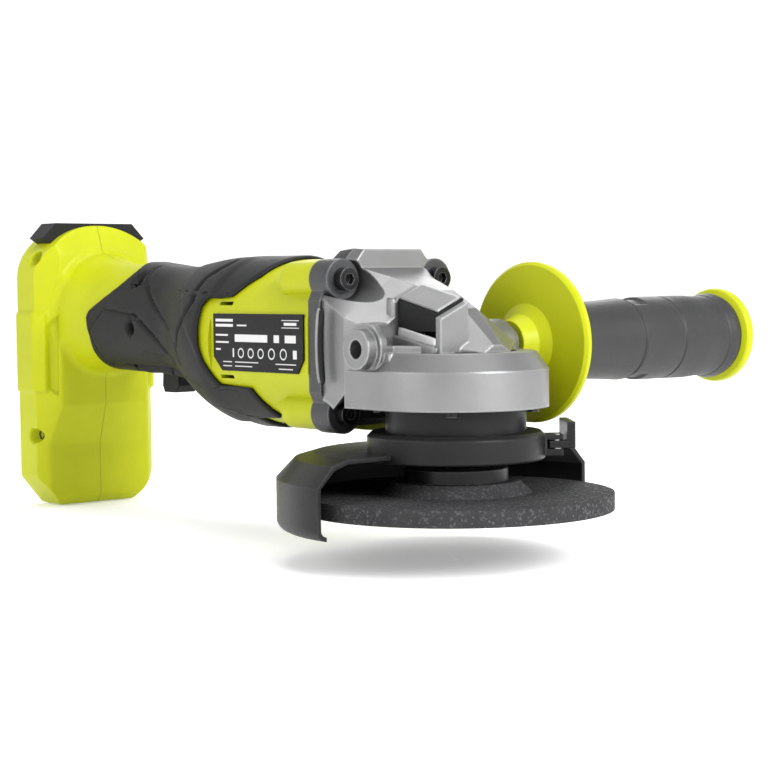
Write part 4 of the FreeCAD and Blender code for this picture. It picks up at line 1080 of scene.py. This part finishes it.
# ------------------------------------------------------------------ the side handle's sleeve
@dataclass
class HandleSleeve:
    """The side handle's soft sleeve: a turned profile with grooves, notches and a knurled band.

    Sizes are millimetres. The surface is the profile carried round the handle's axis.
    """

    axis_x: float = -11.9
    axis_z: float = 58.8
    profile: tuple[tuple[float, float], ...] = (
        (54.3, 15.3), (66.0, 15.2), (80.0, 15.3), (90.0, 15.8), (97.0, 16.3), (104.0, 16.5), (112.0, 16.8),
        (121.0, 16.8), (135.0, 16.9), (149.0, 16.8), (151.0, 17.2), (153.2, 17.6), (155.9, 16.9))
    grooves: tuple[tuple[float, float, float], ...] = (
        # Y, half width, depth
        (98.3, 0.45, 0.75), (121.6, 0.4, 0.65), (148.8, 0.3, 0.4))
    bore: float = 13.08
    knurl: tuple[float, float] = (125.0, 147.0)
    knurl_waves: int = 54
    knurl_pitch: float = 2.9
    knurl_depth: float = 0.11
    notch_depth: float = 1.0
    rows: int = 300
    columns: int = 216

    def build(self) -> None:
        """Builds the sleeve in place of the plain CAD one."""
        start, end = self.profile[0][0], self.profile[-1][0]
        y = np.linspace(start, end, self.rows)[:, None]
        turn = np.linspace(0, 2 * np.pi, self.columns + 1)[:-1][None, :]
        radius = along(y, self.profile) + 0 * turn
        for place, half_width, depth in self.grooves:
            radius = radius - depth * (1 - ease(np.abs(y - place), half_width * 0.5, half_width * 1.6))
        lobes = (1 - np.cos(turn)) / 2
        notch = ease(y, 98.0, 101.5) * (1 - ease(y, 106.5, 107.5))
        for middle in (0.0, np.pi):
            off = np.abs((turn - middle + np.pi) % (2 * np.pi) - np.pi)
            radius = radius - self.notch_depth * notch * (1 - ease(off, 0.45, 0.6))
        band = ease(y, self.knurl[0], self.knurl[0] + 1) * (1 - ease(y, self.knurl[1] - 1, self.knurl[1]))
        crossing, sliding = turn * self.knurl_waves, y * self.knurl_pitch
        wave = np.sin(crossing + sliding) * np.sin(crossing - sliding)
        radius = radius + band * self.knurl_depth * wave + 0.12 * lobes * ease(y, 60, 80)
        shoulder = np.concatenate([[[self.bore]], [[self.bore]]]) + 0 * turn
        radius = np.concatenate([shoulder[:1], radius, shoulder[1:]])
        places = np.concatenate([y[:1], y, y[-1:]])
        points = np.stack([self.axis_x + radius * np.sin(turn), places + 0 * turn,
                           self.axis_z + radius * np.cos(turn)], -1) * MM
        sleeve = surface("handle_sleeve", points,
                         grid_faces(len(places), self.columns, True, True), Look.SLEEVE)
        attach(sleeve, "side_handle")
        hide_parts("side_handle_grip")
        LOG.info("%s: %d faces", sleeve.name, len(sleeve.data.polygons))


# ------------------------------------------------------------------ the CAD pieces and their finishes
@dataclass
class CadFinishes:
    """Gives every CAD node its finish."""

    looks: dict[Look, tuple[str, ...]] = field(default_factory=lambda: {
        Look.LIME: ("foot_right", "foot_left", "housing_right", "housing_left",
                    "side_handle_core", "side_handle_end_cap"),
        Look.SKIN: ("grip_overmould_right", "grip_overmould_left", "foot_bumper", "side_handle_grip",
                    "dust_seal"),
        Look.BLACK: ("terminal_block", "switch_module", "switch_plunger", "paddle_lever", "lock_off_lever",
                     "brush_holder", "cooling_fan", "spindle_lock_button", "carbon_brushes",
                     "paddle_pin"),
        Look.CASE: ("gear_case",),
        Look.ADAPTER: ("gearbox_adapter",),
        Look.GUARD: ("guard_shell", "guard_collar", "guard_clamp_lever", "bearing_retainer"),
        Look.FLANGE: ("inner_flange", "lock_nut"),
        Look.BRIGHT: ("lock_off_pin", "motor_can", "rotor_shaft", "front_motor_bearing",
                      "rear_motor_bearing", "brush_springs", "drive_pinion", "ring_gear", "spindle",
                      "lower_spindle_bearing", "upper_spindle_bearing",
                      "lock_button_spring", "guard_clamp_pin", "side_handle_stud"),
        Look.SCREWS: ("housing_screws", "gearbox_screws", "retainer_screws"),
        Look.GRIT: ("grinding_disc",),
        Look.COPPER: ("armature_windings", "commutator"),
        Look.BRASS: ("battery_terminals",),
        Look.IRON: ("armature_core", "stator_magnets"),
        Look.BOARD: ("control_board",),
        Look.PLATE: ("rating_plate",),
    })

    def dress(self, nodes: dict[str, bpy.types.Object]) -> None:
        """Puts each finish on its nodes.

        Args:
            nodes: the CAD nodes by name.
        """
        for look, names in self.looks.items():
            for name in names:
                for slot in nodes[name].material_slots:
                    slot.link = "OBJECT"
                    slot.material = material(look)
                LOG.info("%s: %s", name, look.value.name)


# ------------------------------------------------------------------ studio
@dataclass
class Studio:
    """A pale bowl of floor and wall round the tool, soft lights, and the camera."""

    floor_height: float = -0.0192
    radius: float = 3.2
    wall: float = 2.4
    glow: float = 0.30
    sky: float = 0.42
    boxes: tuple[tuple[Any, ...], ...] = (
        # name, place, aim, side, watts
        ("key_box", (1.25, 0.15, 0.75), (-0.05, 0, 0.05), 0.6, 24),
        ("fill_box", (-0.35, -1.35, 0.55), (-0.12, 0, 0.05), 0.9, 5),
        ("top_box", (-0.15, 0.1, 1.35), (-0.1, 0, 0.05), 1.0, 10),
        ("back_box", (-1.1, 1.1, 0.8), (-0.1, 0, 0.05), 0.8, 6))
    lens: float = 86.49
    camera_at: tuple[float, float, float] = (0.499147, -0.451412, 0.082838)
    camera_right: tuple[float, float, float] = (0.6424411, 0.7662555, -0.01104308)
    camera_up: tuple[float, float, float] = (-0.03567099, 0.04429556, 0.99838143)
    camera_back: tuple[float, float, float] = (0.76550442, -0.64100734, 0.05579038)

    def paper(self) -> bpy.types.Material:
        """Pale matt paper with the faintest mottling."""
        g = Graph("pale_paper")
        mottle = g.noise(9, 3)
        tone = g.mixed(mottle, (0.90, 0.90, 0.90), (0.93, 0.93, 0.93))
        g.set("Base Color", tone)
        g.set("Roughness", 0.9)
        g.set("Emission Color", tone)
        g.set("Emission Strength", self.glow)
        return g.material

    def build(self) -> None:
        """Makes the bowl: a disc whose rim turns up in a quarter circle into a wall."""
        bend = 0.9
        turn = np.linspace(0, np.pi / 2, 13)
        outwards = np.concatenate([np.linspace(0.001, self.radius - bend, 8),
                                   self.radius - bend + bend * np.sin(turn[1:]), [self.radius]])
        upwards = np.concatenate([np.zeros(8), bend - bend * np.cos(turn[1:]), [self.wall]])
        around = np.linspace(0, 2 * np.pi, 97)[:-1]
        points = np.stack([outwards[:, None] * np.cos(around), outwards[:, None] * np.sin(around),
                           np.broadcast_to(upwards[:, None], (len(outwards), len(around)))], -1)
        points[..., 2] += self.floor_height
        mesh = bpy.data.meshes.new("studio_floor")
        faces = grid_faces(len(outwards), len(around), False, True)[:, ::-1]
        mesh.from_pydata(points.reshape(-1, 3).tolist(), [], faces.tolist())
        mesh.polygons.foreach_set("use_smooth", np.ones(len(mesh.polygons), bool))
        mesh.materials.append(self.paper())
        floor = bpy.data.objects.new("studio_floor", mesh)
        bpy.context.scene.collection.objects.link(floor)

    def light(self, name: str, at: Sequence[float], aim: Sequence[float], size: float,
              power: float) -> None:
        """Hangs one square softbox.

        Args:
            name: the light's name.
            at: where it hangs.
            aim: the point that it faces.
            size: its side.
            power: its power in watts.
        """
        lamp = bpy.data.lights.new(name, "AREA")
        lamp.shape, lamp.size, lamp.energy = "SQUARE", size, power
        box = bpy.data.objects.new(name, lamp)
        box.location = at
        box.rotation_euler = (Vector(aim) - Vector(at)).to_track_quat("-Z", "Y").to_euler()
        bpy.context.scene.collection.objects.link(box)

    def lights(self) -> None:
        """Sets the sky and the softboxes."""
        world = bpy.data.worlds.new("studio_sky")
        world.use_nodes = True
        world.node_tree.nodes["Background"].inputs[0].default_value = (1, 1, 1, 1)
        world.node_tree.nodes["Background"].inputs[1].default_value = self.sky
        bpy.context.scene.world = world
        for box in self.boxes:
            self.light(*box)
        bpy.context.scene.view_settings.view_transform = "Standard"

    def camera(self) -> None:
        """Places the camera."""
        eye = bpy.data.cameras.new("studio_camera")
        eye.lens, eye.sensor_width, eye.clip_start, eye.clip_end = self.lens, 36.0, 0.01, 50.0
        stand = bpy.data.objects.new("studio_camera", eye)
        columns = (self.camera_right, self.camera_up, self.camera_back, self.camera_at)
        turn = Matrix([[c[i] for c in columns] for i in range(3)] + [[0, 0, 0, 1]])
        stand.matrix_world = turn
        bpy.context.scene.collection.objects.link(stand)
        bpy.context.scene.camera = stand


def corners(box: tuple[Vector, Vector]) -> list[list[float]]:
    """A box as two plain lists."""
    return [list(box[0]), list(box[1])]


def main() -> None:
    """Builds the tool's looks and the studio."""
    logging.basicConfig(level=logging.INFO, format="%(name)s: %(message)s")
    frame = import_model()
    CadFinishes().dress(frame["nodes"])
    GripSkin().build()
    Foot().build()
    Paddle().build()
    HeadDetails().build()
    HandleSleeve().build()
    studio = Studio()
    studio.build()
    studio.lights()
    studio.camera()


if __name__ == "__main__":
    main()
